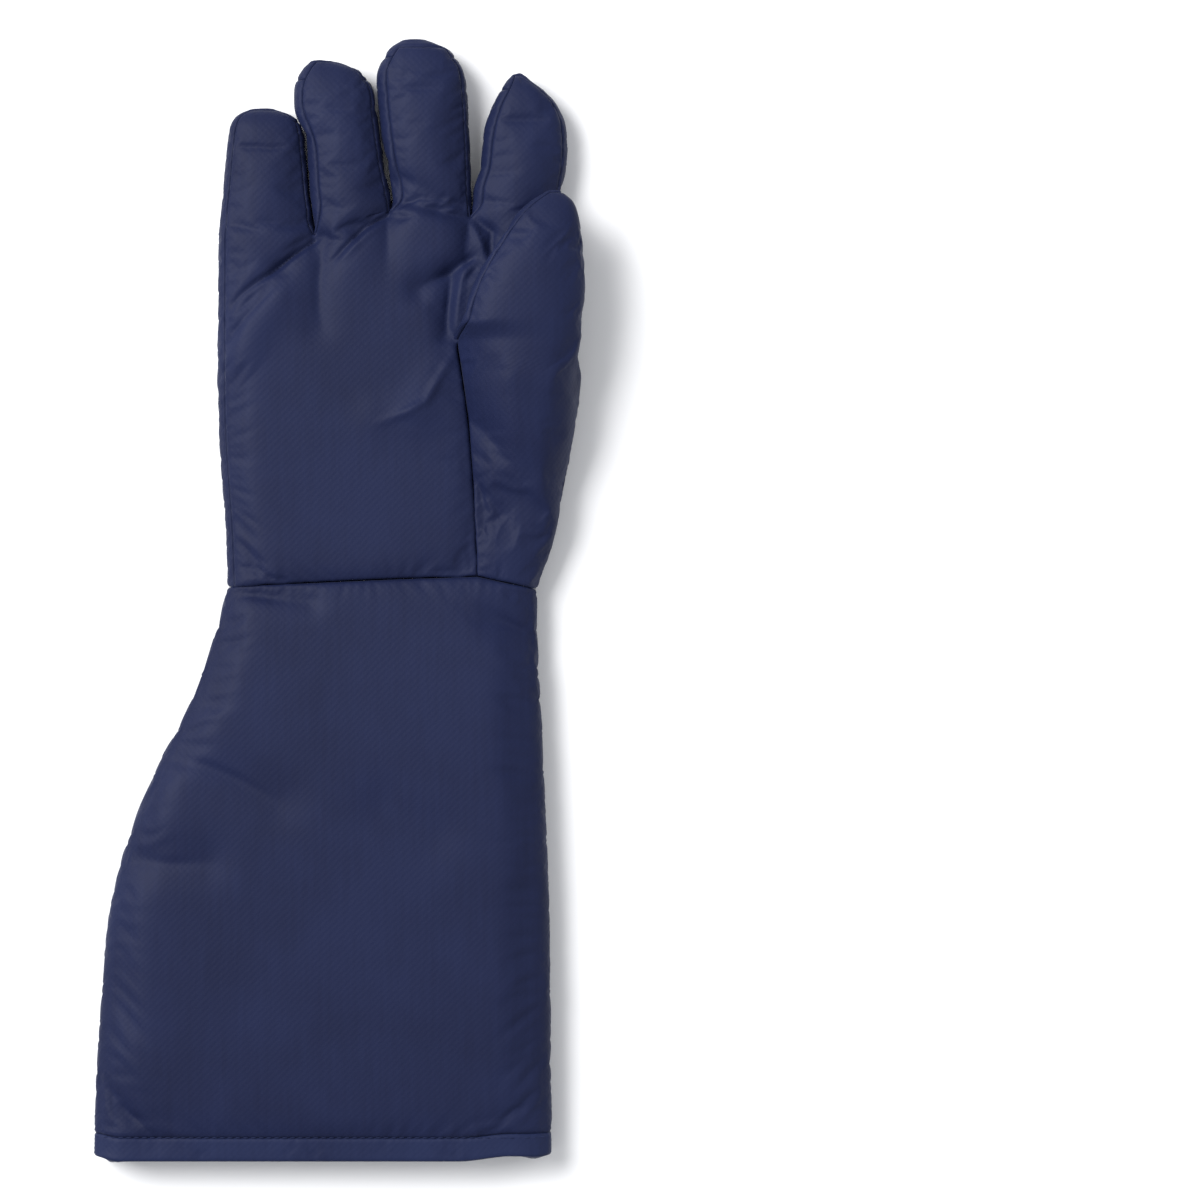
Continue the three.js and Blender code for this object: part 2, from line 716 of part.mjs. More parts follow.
// Points across the front of the thumb, from its seam with the palm or its left seam to its
// right seam. Low down it is an arch beside the palm, and above its crotch part of a tube.
function thumbFront(row) {
  const { at, right, top } = thumbSections[row];
  const level = thumbLevel(at);
  const free = thumbFreedom(level);
  const left = row > thumbFreeRow ? thumbSections[row].left : sample(palmLines, level / palmLength, "third");
  const bottom = handHeight + 2 * seamGap;
  const leftX = left * palmWidth + seamGap / 2;
  const rightX = right * palmWidth;
  const peak = top * (bottom + thumbHeight);
  const middle = bottom + thumbHeight / 2;
  const halfWidth = (rightX - leftX) / 2;
  const halfHeight = Math.min(thumbHeight / 2, peak - middle);
  const leftAngle = Math.PI - insetAngle(thumbSeamInset, halfWidth);
  const rightAngle = -thumbUnderAngle * radians;
  const sag = 1 - Math.min(1, level / wristSeamReach);
  const flatShare = 0.6;
  const seamRise = 1 - sideSeamZ(level) / (peak / 2);
  const archEnd = -Math.sign(seamRise) * Math.asin(Math.min(1, Math.abs(seamRise)) ** (roundness / 2));
  const places = [];
  for (let k = 0; k <= acrossThumb; k += 1) {
    const share = k / acrossThumb;
    let x = mix(leftX, rightX - thumbSideRadius, share / flatShare);
    let z = peak - (peak - handHeight) * Math.max(0, 1 - (x - leftX) / (1.6 * thumbSideRadius)) ** 2;
    if (share > flatShare) {
      const angle = mix(Math.PI / 2, archEnd, (share - flatShare) / (1 - flatShare));
      x = rightX - thumbSideRadius * (1 - power(Math.cos(angle)));
      z = (peak / 2) * (1 + power(Math.sin(angle)));
    }
    if (free > 0) {
      const angle = mix(leftAngle, rightAngle, share);
      x = mix(x, leftX + halfWidth * (1 + power(Math.cos(angle))), free);
      z = mix(z, middle + Math.max(0.2, halfHeight) * power(Math.sin(angle)), free);
    }
    const depth = foldDepth(thumbFolds, x, level, palmWidth, palmLength, handHeight);
    const onTop = smooth(0.55, 0.95, z / peak);
    places.push(new THREE.Vector3(x, level + sag * wristSeamY(x), z - depth * onTop));
  }
  return { places, leftX, halfWidth, halfHeight, middle, bottom, leftAngle, rightAngle, level };
}

// The skin of the thumb: the front all the way up, and the underside above the crotch.
// Below the crotch a strip beside each seam stands for the hand, so that the cloth's edge
// there is square to both panels that meet.
function thumbSkin() {
  const skin = new Skin();
  let below = null;
  const reach = thumbSideRadius / 2;
  for (let row = 0; row < thumbSections.length; row += 1) {
    const shape = thumbFront(row);
    const seamStart = shape.places[0];
    const seamEnd = shape.places[acrossThumb];
    const beside = [
      skin.point(seamStart.x - reach, seamStart.y, seamStart.z),
      skin.point(seamEnd.x - reach / 6, seamEnd.y, seamEnd.z - reach),
    ];
    const front = shape.places.map(({ x, y, z }) => skin.point(x, y, z));
    const under = [front[acrossThumb]];
    const last = shape.places[acrossThumb];
    const first = shape.places[0];
    for (let k = 1; k < underThumb; k += 1) {
      const share = k / underThumb;
      const angle = mix(shape.rightAngle, shape.leftAngle - 2 * Math.PI, share);
      const x = shape.leftX + shape.halfWidth * (1 + power(Math.cos(angle)));
      const z = shape.middle + Math.max(0.2, shape.halfHeight) * power(Math.sin(angle));
      const lift = mix(last.z, first.z, share) - mix(
        shape.middle + shape.halfHeight * power(Math.sin(shape.rightAngle)),
        shape.middle + shape.halfHeight * power(Math.sin(shape.leftAngle)), share);
      under.push(skin.point(x, shape.level, Math.max(shape.bottom, z + lift)));
    }
    under.push(front[0]);
    if (below) {
      skin.strip(row > thumbTipRow ? "thumb_back" : "thumb_front", below.front, front);
      if (row > thumbFreeRow) {
        skin.strip("thumb_back", below.under, under);
      } else {
        skin.strip("beside", [below.beside[0], below.front[0]], [beside[0], front[0]]);
        skin.strip("beside", [below.front[acrossThumb], below.beside[1]], [front[acrossThumb], beside[1]]);
      }
    }
    if (row === thumbSections.length - 1) {
      skin.cap("thumb_back", [...front, ...under.slice(1, -1)]);
    }
    below = { front, under, beside };
  }
  return skin;
}

// A ring of the gauntlet at a share of its length
function gauntletRing(skin, at) {
  const wristHalf = wristWidth / 2;
  const endLeft = openEndShift - openEndWidth / 2;
  const endRight = openEndShift + openEndWidth / 2;
  const left = mix(-wristHalf, endLeft, sample(gauntletSections, at, "left"));
  const right = mix(wristHalf, endRight, sample(gauntletSections, at, "right"));
  const half = (sample(gauntletSections, at, "high") * gauntletHeight) / 2;
  const level = -at * gauntletLength;
  const sag = 1 - Math.min(1, -level / wristSeamReach);
  const place = (x, z) => {
    const depth = foldDepth(gauntletFolds, x, level, openEndWidth / 2, gauntletLength, gauntletHeight);
    const onTop = smooth(1.1, 1.9, z / half);
    return skin.point(x, level + sag * wristSeamY(x), z - depth * onTop);
  };
  const seam = insetAngle(outerSeamInset, sideRadius);
  const under = -backSeamAngle * radians;
  const points = [];
  for (let k = 0; k < acrossGauntlet; k += 1) {
    const x = mix(left + outerSeamInset, right - outerSeamInset, k / acrossGauntlet);
    const drop = edgeDrop(x - left, sideRadius) + edgeDrop(right - x, sideRadius);
    points.push(place(x, half * (2 - drop)));
  }
  for (let k = 0; k < downSide; k += 1) {
    const angle = mix(seam, under, k / downSide);
    points.push(place(right - sideRadius * (1 - power(Math.cos(angle))), half * (1 + sectionRise(angle))));
  }
  const underInset = sideRadius * (1 - power(Math.cos(under)));
  for (let k = 0; k < acrossGauntlet; k += 1) {
    const x = mix(right - underInset, left + underInset, k / acrossGauntlet);
    points.push(place(x, half * (edgeLift(x - left) + edgeLift(right - x))));
  }
  for (let k = 0; k < downSide; k += 1) {
    const angle = mix(under, seam, k / downSide);
    points.push(place(left + sideRadius * (1 - power(Math.cos(angle))), half * (1 + sectionRise(angle))));
  }
  return [...points, points[0]];
}

// The skin of the gauntlet and of the hem round its open end
function gauntletSkin() {
  const skin = new Skin();
  const hemStart = 1 - hemDepth / gauntletLength;
  const rings = [];
  for (let k = 0; k <= gauntletRows; k += 1) {
    rings.push({ at: (hemStart * k) / gauntletRows, label: "gauntlet_sleeve" });
  }
  for (let k = 1; k <= hemRows; k += 1) {
    rings.push({ at: mix(hemStart, 1, k / hemRows), label: "gauntlet_hem" });
  }
  let above = null;
  for (const { at, label } of rings) {
    const ring = gauntletRing(skin, at);
    if (above) {
      skin.strip(label, ring, above);
    }
    above = ring;
  }
  return skin;
}

// Cloth materials: the shell is the same navy cloth on every panel
function clothMaterial(color) {
  return new THREE.MeshStandardMaterial({ color, roughness: 0.75, metalness: 0 });
}
const shellCloth = clothMaterial(0x2e3557);
const hemCloth = clothMaterial(0x2b3152);

function panel(name, skin, thickness, material) {
  const mesh = new THREE.Mesh(panelSolid(skin, name, thickness), material);
  mesh.name = name;
  return mesh;
}

function buildGlove() {
  const glove = new THREE.Group();
  const hand = handSkin();
  const thumb = thumbSkin();
  const gauntlet = gauntletSkin();
  glove.add(panel("gauntlet_sleeve", gauntlet, padding, shellCloth));
  glove.add(panel("gauntlet_hem", gauntlet, hemThickness, hemCloth));
  glove.add(panel("palm_panel", hand, padding, shellCloth));
  glove.add(panel("back_panel", hand, padding, shellCloth));
  for (let column = 0; column < 3; column += 1) {
    glove.add(panel(stripName(column), hand, padding, shellCloth));
  }
  glove.add(panel("thumb_front", thumb, padding, shellCloth));
  glove.add(panel("thumb_back", thumb, padding, shellCloth));
  const box = new THREE.Box3().setFromObject(glove);
  const middle = box.getCenter(new THREE.Vector3());
  glove.position.set(-middle.x, -middle.y, -box.min.z);
  return glove;
}

export default buildGlove();
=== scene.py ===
# %% [markdown]
# # An elbow-length cryogenic glove
# The glove is cut from padded navy cloth: a flared gauntlet with a hem, a palm, a back that
# wraps round the little finger, side strips between the fingers, and a thumb in two halves.
# It lies palm up. This lesson shapes each panel as a numpy surface, lets Blender's cloth
# puff it, gives it a thick wall, and dresses it in a woven finish.

# %% Load the fixed frame
import math
import time

import bpy
import numpy as np
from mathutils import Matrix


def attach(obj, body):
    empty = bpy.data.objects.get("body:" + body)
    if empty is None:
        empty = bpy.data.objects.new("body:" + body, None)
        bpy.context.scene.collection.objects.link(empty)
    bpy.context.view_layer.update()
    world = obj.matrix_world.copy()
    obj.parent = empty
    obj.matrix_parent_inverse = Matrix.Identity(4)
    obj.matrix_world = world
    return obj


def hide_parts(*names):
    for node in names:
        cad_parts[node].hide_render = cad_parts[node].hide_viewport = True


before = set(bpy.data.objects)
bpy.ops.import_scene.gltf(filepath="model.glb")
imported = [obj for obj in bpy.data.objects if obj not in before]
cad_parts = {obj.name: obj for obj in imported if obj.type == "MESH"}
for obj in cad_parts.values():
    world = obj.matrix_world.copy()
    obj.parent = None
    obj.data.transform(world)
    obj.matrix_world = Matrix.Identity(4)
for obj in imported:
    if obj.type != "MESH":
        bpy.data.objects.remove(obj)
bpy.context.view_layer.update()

# %% [markdown]
# The shapes are worked out in millimetres from the middle of the wrist seam, because that is
# how a pattern maker would note them, and are moved into the frame at the end. Every table
# below is a list of sections: a curve is drawn smoothly through its rows.

# %% Sizes of the pattern
MM = 0.001
ORIGIN = np.array([19.26, 8.56, 0.0])
PADDING = 5.0
HEM_THICKNESS = 5.6
WRIST_WIDTH = 143.0
GAUNTLET_LENGTH = 268.5
OPEN_END_WIDTH = 212.0
OPEN_END_SHIFT = -27.5
HEM_DEPTH = 11.0
GAUNTLET_HEIGHT = 25.0
WRIST_SEAM_RISE = 5.0
WRIST_SEAM_REACH = 42.0
PALM_WIDTH = 158.7
PALM_LENGTH = 169.0
HAND_HEIGHT = 21.0
SIDE_RADIUS = 16.0
OUTER_INSET = 3.0
STRIP_INSET = 4.4
HIDDEN_INSET = 1.6
THUMB_LENGTH = 179.5
THUMB_CROTCH = 111.0
THUMB_HEIGHT = 21.2
THUMB_SIDE_RADIUS = 15.0
THUMB_INSET = 3.2
SIDE_SEAM_HEIGHT = 8.4
SEAM_GAP = 0.4
ROUNDNESS = 2.5
PRESSED_FLAT = 1.12
BACK_SEAM = math.radians(40)
THUMB_UNDER = math.radians(30)

# %% Tables of the pattern
# share of the palm's length, then the five lines up the palm as shares of its width
PALM_LINES = np.array([
    [0.0, -0.4505, -0.207, 0.0365, 0.28, 0.4505],
    [0.15, -0.456, -0.205, 0.03, 0.273, 0.503],
    [0.4, -0.474, -0.203, 0.024, 0.254, 0.56],
    [0.56, -0.479, -0.2, 0.021, 0.233, 0.576],
    [0.657, -0.4795, -0.199, 0.02, 0.219, 0.557],
    [0.78, -0.479, -0.198, 0.019, 0.234, 0.538],
    [1.0, -0.477, -0.196, 0.0176, 0.2577, 0.5205],
])
WRIST_RISE = np.array([-0.4, 0.0, 0.34, 0.6, -0.6]) * WRIST_SEAM_RISE
CROTCH = np.array([0.95, 0.95, 1.01, 1.0, 1.01]) * PALM_LENGTH

# each finger: length, width, height, root, lean, and sections of share, left, right, high
FINGERS = {
    "little": (58.9, 38.0, 20.0, -0.3365, -1.0, np.array([
        [0.1, 1.14, 1.12, 1.0], [0.21, 1.11, 1.09, 1.0], [0.35, 1.055, 1.035, 1.0],
        [0.52, 1.0, 1.0, 1.0], [0.68, 0.945, 0.955, 0.98], [0.82, 0.884, 0.91, 0.93],
        [0.9, 0.82, 0.83, 0.8], [0.96, 0.68, 0.62, 0.6], [1.0, 0.4, 0.26, 0.32]])),
    "ring": (76.0, 37.5, 22.0, -0.0895, -10.0, np.array([
        [0.09, 0.925, 1.04, 1.0], [0.2, 0.91, 1.04, 1.0], [0.34, 0.875, 0.99, 1.0],
        [0.52, 0.85, 0.975, 1.0], [0.69, 1.03, 0.98, 0.98], [0.812, 0.99, 0.985, 0.93],
        [0.885, 0.89, 0.88, 0.8], [0.95, 0.72, 0.68, 0.6], [1.0, 0.5, 0.12, 0.32]])),
    "middle": (81.5, 41.5, 22.0, 0.1374, -6.0, np.array([
        [0.085, 0.795, 0.96, 1.0], [0.18, 0.79, 0.975, 1.0], [0.3, 0.86, 1.0, 1.0],
        [0.5, 0.925, 1.026, 1.0], [0.7, 0.945, 1.035, 0.98], [0.823, 0.915, 0.998, 0.93],
        [0.903, 0.75, 0.845, 0.8], [0.96, 0.595, 0.66, 0.6], [1.0, 0.34, 0.24, 0.32]])),
    "index": (65.5, 39.0, 21.0, 0.3891, 2.0, np.array([
        [0.09, 1.02, 1.075, 1.0], [0.2, 1.0, 1.085, 1.0], [0.334, 0.867, 1.15, 1.0],
        [0.49, 0.83, 1.165, 1.0], [0.653, 0.76, 1.1, 0.97], [0.795, 0.605, 0.88, 0.9],
        [0.895, 0.44, 0.58, 0.75], [0.965, 0.3, 0.27, 0.5], [1.0, 0.19, 0.08, 0.26]])),
}
NAMES = list(FINGERS)
PALM_ROWS = 17
TIP_SEAM_ROWS = {"little": 9, "ring": 9, "middle": 8, "index": 9}
STRIP_END_ROW = 7
THUMB_ROW = 11

# share of the gauntlet's length below the wrist, then left, right and high
GAUNTLET = np.array([
    [0.0, 0.0, 0.0, 0.84], [0.08, 0.085, 0.0, 0.9], [0.2, 0.26, 0.22, 0.97],
    [0.33, 0.545, 0.45, 1.0], [0.45, 0.75, 0.65, 1.0], [0.57, 0.88, 0.8, 1.0],
    [0.7, 0.935, 0.86, 1.0], [0.85, 0.98, 0.92, 0.98], [1.0, 1.0, 1.0, 0.92],
])

# share of the thumb's length, left and right as shares of the palm's width, height of its top
THUMB = np.array([
    [0.0, 0.28, 0.4505, 0.5], [0.139, 0.274, 0.504, 0.575], [0.262, 0.265, 0.53, 0.68],
    [0.384, 0.253, 0.561, 0.8], [0.47, 0.241, 0.574, 0.875], [0.53, 0.232, 0.579, 0.925],
    [0.58, 0.224, 0.583, 0.955], [0.621, 0.2195, 0.5855, 0.975], [0.68, 0.24, 0.591, 0.995],
    [0.741, 0.258, 0.597, 1.0], [0.8, 0.287, 0.595, 1.0], [0.85, 0.322, 0.59, 0.995],
    [0.9, 0.359, 0.582, 0.97], [0.947, 0.398, 0.572, 0.92], [0.977, 0.437, 0.557, 0.86],
    [1.0, 0.479, 0.525, 0.79],
])
THUMB_FREE_ROW = 7
THUMB_TIP_ROW = 15
print("pattern:", len(FINGERS), "fingers,", len(THUMB), "thumb sections")

# %% [markdown]
# A fold in padded cloth is a long soft valley, or a ridge beside it. Each row of a fold
# table is one straight stretch of a valley. Its depth falls off on both sides like a bell
# curve, so a few rows join into one bent crease.

# %% Tables of folds
# from x, from y, to x, to y in millimetres, half width, depth (negative for a ridge)
PALM_FOLDS = np.array([
    [-31.7, 158.9, -46.0, 145.3, 5.2, 2.2], [-46.0, 145.3, -61.9, 130.1, 5.6, 1.4],
    [1.6, 169.0, -11.1, 163.1, 5.0, 1.8], [-11.1, 163.1, -23.8, 147.0, 5.4, 1.2],
    [-26.2, 157.2, -28.6, 118.3, 7.5, 1.4], [39.7, 148.7, 17.5, 135.2, 6.0, 2.4],
    [31.7, 140.3, 29.7, 113.2, 4.8, 2.4], [4.8, 184.2, 38.1, 171.5, 8.0, 2.4],
    [49.2, 163.1, 51.6, 152.1, 8.4, 4.0], [27.0, 94.6, 15.9, 77.7, 9.0, -1.4],
    [15.9, 77.7, -2.4, 76.9, 9.0, -1.2], [-47.6, 131.8, -66.7, 103.1, 8.0, -1.6],
])
THUMB_FOLDS = np.array([
    [41.3, 76.0, 66.7, 50.7, 9.0, 2.1], [46.0, 47.3, 55.5, 32.1, 7.0, 1.7],
])
GAUNTLET_FOLDS = np.array([
    [-65.7, -5.4, -32.9, -9.4, 6.2, 2.0], [-96.5, -77.9, -47.7, -100.7, 12.5, 1.7],
    [-116.6, -127.5, -80.6, -128.9, 10.0, 1.5], [2.1, -103.4, 23.3, -116.8, 12.5, 1.2],
    [-127.2, -230.9, -106.0, -255.1, 10.0, 1.5], [53.0, -18.8, 74.2, -29.5, 7.5, 1.7],
])
print("folds:", len(PALM_FOLDS), "on the palm,", len(GAUNTLET_FOLDS), "on the gauntlet")

# creases: half widths left and right of the line, then bends of x, y, depth in millimetres
PALM_CREASES = [
    (1.5, 0.9, [(-29.6, 159.4, 0.9), (-33.3, 156.5, 2.0), (-41.7, 151.0, 1.9), (-50.2, 143.7, 1.7),
                (-58.6, 138.3, 1.4), (-65.3, 132.9, 1.1), (-70.4, 126.2, 0.7), (-72.8, 120.6, 0.3)]),
    (1.4, 2.4, [(-34.5, 152.7, -0.4), (-42.3, 147.4, -0.8), (-49.3, 140.9, -0.8),
                (-57.5, 135.6, -0.7), (-63.9, 130.6, -0.5), (-69.0, 124.0, -0.2)]),
    (1.6, 1.6, [(-45.1, 140.0, 0.0), (-55.2, 130.7, 0.8), (-63.7, 121.4, 0.8), (-69.6, 113.0, 0.7),
                (-72.9, 107.1, 0.3)]),
    (1.2, 1.2, [(-65.9, 105.7, 0.0), (-69.9, 101.0, 0.7), (-72.9, 97.0, 0.3)]),
    (1.5, 0.9, [(3.5, 170.0, 0.6), (-1.2, 167.8, 1.8), (-8.0, 163.6, 1.8), (-14.7, 157.2, 1.5),
                (-19.8, 151.5, 1.0), (-23.5, 147.6, 0.2)]),
    (1.4, 2.4, [(0.2, 164.9, -0.4), (-6.6, 160.9, -0.8), (-12.8, 154.9, -0.8), (-17.9, 149.3, -0.3)]),
    (3.0, 2.4, [(-25.7, 164.5, 0.2), (-27.9, 151.8, 1.0), (-29.1, 138.3, 0.9), (-28.9, 126.5, 0.6),
                (-26.5, 114.7, 0.0)]),
    (2.0, 1.6, [(6.4, 184.7, 0.3), (19.0, 179.1, -0.9), (29.2, 174.1, -1.0), (38.5, 170.7, -0.5)]),
    (1.6, 2.4, [(7.2, 177.1, 0.3), (17.4, 173.7, 0.9), (29.2, 170.4, 1.1), (39.3, 168.7, 0.6)]),
    (1.2, 1.4, [(40.8, 168.0, -0.5), (44.2, 161.6, -1.3), (46.6, 155.6, -1.2), (48.8, 148.4, -0.5)]),
    (1.8, 1.8, [(44.4, 167.0, 0.8), (50.8, 161.9, 1.8), (50.4, 152.8, 1.2)]),
    (1.4, 2.2, [(41.5, 149.4, 1.2), (29.2, 141.7, 1.3), (17.4, 135.8, 0.2)]),
    (1.0, 1.0, [(38.8, 138.3, 0.6), (43.4, 144.2, 1.1)]),
    (1.0, 1.0, [(38.2, 142.3, -0.5), (42.6, 148.0, -0.8)]),
    (1.8, 1.6, [(32.5, 141.7, 0.6), (30.9, 128.2, 1.2), (30.0, 115.9, 0.4)]),
    (1.5, 1.8, [(38.4, 146.1, -0.6), (35.9, 131.6, -1.0), (34.6, 118.0, -0.6)]),
    (2.2, 1.8, [(35.1, 108.2, -0.2), (26.6, 94.4, -0.9), (20.7, 84.0, -1.1), (12.3, 79.2, -1.0),
                (-1.2, 73.8, -0.2)]),
    (1.2, 1.2, [(36.6, 229.6, 0.5), (30.5, 234.8, 0.0)]),
    (1.0, 1.0, [(37.3, 220.8, 0.5), (32.2, 217.3, 0.0)]),
    (1.0, 1.0, [(36.9, 216.5, 0.5), (31.7, 212.2, 0.0)]),
]
THUMB_CREASES = [
    (2.6, 2.0, [(40.0, 76.9, 0.2), (51.1, 65.7, 0.9), (57.5, 56.3, 0.2)]),
    (1.2, 1.2, [(36.8, 116.2, 0.8), (44.4, 117.4, 0.2)]),
    (1.2, 1.2, [(36.8, 103.7, 0.7), (42.8, 100.4, 0.1)]),
    (1.6, 1.6, [(44.0, 46.0, 0.3), (53.0, 35.0, 0.8), (57.0, 26.0, 0.1)]),
]
GAUNTLET_CREASES = [
    (3.0, 2.0, [(-64.0, -5.0, 0.3), (-50.0, -7.5, 0.9), (-33.0, -8.5, 0.3)]),
    (2.0, 2.0, [(52.0, -16.0, 0.0), (61.0, -20.0, 0.7), (71.0, -25.0, 0.9)]),
    (1.4, 1.4, [(63.0, -23.5, 0.0), (71.0, -29.5, 0.8)]),
    (1.6, 1.6, [(66.0, -38.0, 0.0), (72.0, -33.5, 0.8)]),
    (1.5, 1.5, [(67.5, -65.0, 0.0), (74.5, -61.5, 0.8)]),
    (1.8, 1.8, [(69.0, -97.0, 0.0), (75.5, -93.0, 0.7)]),
    (2.0, 4.0, [(-96.0, -81.0, 0.4), (-82.0, -83.5, 0.9), (-66.0, -90.5, 0.9), (-48.0, -101.0, 0.2)]),
    (2.6, 2.6, [(-113.0, -128.0, 0.5), (-96.0, -130.0, 0.7), (-78.0, -129.0, 0.1)]),
    (1.8, 1.8, [(-130.0, -231.0, 0.5), (-118.0, -243.0, 0.7), (-108.0, -253.0, 0.4)]),
]

# %% [markdown]
# A few small helpers do most of the drawing. They all work on whole numpy arrays, so a
# surface of ten thousand points costs one call.

# %% Helpers for curves and folds
def mix(a, b, share):
    """A value that moves in a straight line from a to b as share goes from 0 to 1."""
    return a + (b - a) * share


def smooth(low, high, value):
    """0 below low, 1 above high, and the S-shaped cubic 3s2 - 2s3 between them."""
    share = np.clip((value - low) / (high - low), 0.0, 1.0)
    return share * share * (3.0 - 2.0 * share)


def curve_through(knots, rows, at):
    """The smooth curve through the rows of a table, read at the places in at.

    Between two rows it is the cubic with both rows' values and slopes, where a row's slope
    is the rise between its two neighbours over the distance between them."""
    last = len(knots) - 1
    order = np.arange(last + 1)
    low, high = np.maximum(order - 1, 0), np.minimum(order + 1, last)
    shape = (-1,) + (1,) * (rows.ndim - 1)
    slope = (rows[high] - rows[low]) / (knots[high] - knots[low]).reshape(shape)
    at = np.clip(at, knots[0], knots[-1])
    k = np.clip(np.searchsorted(knots, at, side="left") - 1, 0, last - 1)
    span = (knots[k + 1] - knots[k]).reshape(shape)
    s = ((at - knots[k]) / (knots[k + 1] - knots[k])).reshape(shape)
    keep = 2 * s ** 3 - 3 * s ** 2 + 1
    leave, reach = s ** 3 - 2 * s ** 2 + s, s ** 3 - s ** 2
    return (keep * rows[k] + leave * span * slope[k]
            + (1 - keep) * rows[k + 1] + reach * span * slope[k + 1])


def beside_stretch(x, y, ax, ay, bx, by):
    """Share of the way along the stretch from a to b, distance from it, and side of it."""
    dx, dy = bx - ax, by - ay
    along = np.clip(((x - ax) * dx + (y - ay) * dy) / (dx * dx + dy * dy), 0.0, 1.0)
    away = np.hypot(x - ax - along * dx, y - ay - along * dy)
    return along, away, dx * (y - ay) - dy * (x - ax)


def fold_depth(folds, x, y):
    """Sum over the stretches of depth times exp(-(distance / half width) squared)."""
    depth = np.zeros_like(x)
    for ax, ay, bx, by, wide, deep in folds:
        _, away, _ = beside_stretch(x, y, ax, ay, bx, by)
        depth += deep * np.exp(-(away / wide) ** 2)
    return depth


def crease_depth(creases, x, y):
    """Depth at the nearest place of each bent line times exp(-(distance / half width) squared).

    The half width differs on the two sides of the line, so one wall is steeper, and the
    depth runs in a straight line from bend to bend."""
    total = np.zeros_like(x)
    for wide_left, wide_right, bends in creases:
        best, depth, side = np.full_like(x, np.inf), np.zeros_like(x), np.zeros_like(x)
        for (ax, ay, deep_a), (bx, by, deep_b) in zip(bends[:-1], bends[1:]):
            along, away, turn = beside_stretch(x, y, ax, ay, bx, by)
            near = away < best
            best = np.where(near, away, best)
            depth = np.where(near, mix(deep_a, deep_b, along), depth)
            side = np.where(near, turn, side)
        total += depth * np.exp(-(best / np.where(side > 0, wide_left, wide_right)) ** 2)
    return total


def waves(x, y, length, seed, count=9):
    """Sum of sine waves in random directions, all near one wavelength, scaled to about 1."""
    draw = np.random.default_rng(seed)
    angle, phase = draw.uniform(0, math.tau, (2, count))
    number = math.tau / (length * draw.uniform(0.7, 1.5, count))
    total = np.zeros_like(x)
    for turn, start, k in zip(angle, phase, number):
        total += np.sin(k * (x * math.cos(turn) + y * math.sin(turn)) + start)
    return total / math.sqrt(count)


# %% [markdown]
# A padded finger isn't round: its top and sides are flatter than a circle and its underside
# lies on the table. A superellipse does this. It raises the cosine and sine of a circle to a
# power below one, which pushes the curve out toward its corners.

# %% Helpers for padded sections
def power(value):
    """The sign of value times its size to the power 2 / roundness."""
    return np.sign(value) * np.abs(value) ** (2.0 / ROUNDNESS)


def section_rise(angle):
    """Height on a padded section as a share of half its height, pressed flat underneath."""
    rise = power(np.sin(angle))
    return np.where(rise >= 0, rise, np.maximum(-1.0, rise * PRESSED_FLAT))


def inset_angle(inset, radius):
    """Angle at which a padded edge of that radius lies that far inside its outline."""
    return np.arccos((1.0 - np.minimum(inset / radius, 0.6)) ** (ROUNDNESS / 2.0))


def edge_drop(distance, radius):
    """How far a top lies below its full height near an edge, as a share of half the height."""
    reach = np.clip(1.0 - distance / radius, 0.0, 1.0)
    return 1.0 - (1.0 - reach ** ROUNDNESS) ** (1.0 / ROUNDNESS)


def edge_lift(distance):
    """How far an underside is lifted near an edge, as a share of half the height."""
    return np.maximum(0.0, 1.0 - PRESSED_FLAT * (1.0 - edge_drop(distance, SIDE_RADIUS)))


def wrist_seam_y(x):
    """Height of the wrist seam, straight between its five knots."""
    return np.interp(x, PALM_LINES[0, 1:] * PALM_WIDTH, WRIST_RISE)


# %% [markdown]
# The hand is drawn as four columns, one for each finger. A column is a loft: rings of points
# round it at every row, from the wrist to the fingertip. Below the crotches only the front
# and the back are needed; above them the sides close the ring into a tube.

# %% Rings of one column of the hand
ACROSS = 30
UNDER = 18
DOWN = 12


def side_angles(column, side, row, radius):
    """Angles down a side from the front seam to the back seam, one row of angles a ring.

    On the thumb's side the two thirds nearest the front end at the seam of the thumb."""
    inset = (OUTER_INSET if column == 0 else STRIP_INSET) if side == "left" else HIDDEN_INSET
    top = inset_angle(inset, radius) * np.ones_like(row)
    share = np.linspace(0, 1, DOWN + 1)[None, :]
    if column < 3 or side == "left":
        return mix(top, -BACK_SEAM, share)
    climb = smooth(THUMB_ROW - 2.5, THUMB_ROW, row) * (1 - smooth(THUMB_ROW, THUMB_ROW + 5, row))
    low = ((SIDE_SEAM_HEIGHT - 0.8) / (HAND_HEIGHT / 2) - 1) / PRESSED_FLAT
    level = -math.asin((-low) ** (ROUNDNESS / 2))
    turn = mix(level, mix(top, -BACK_SEAM, 0.5), climb)
    return np.where(share < 2 / 3, mix(top, turn, share * 1.5), mix(turn, -BACK_SEAM, share * 3 - 2))


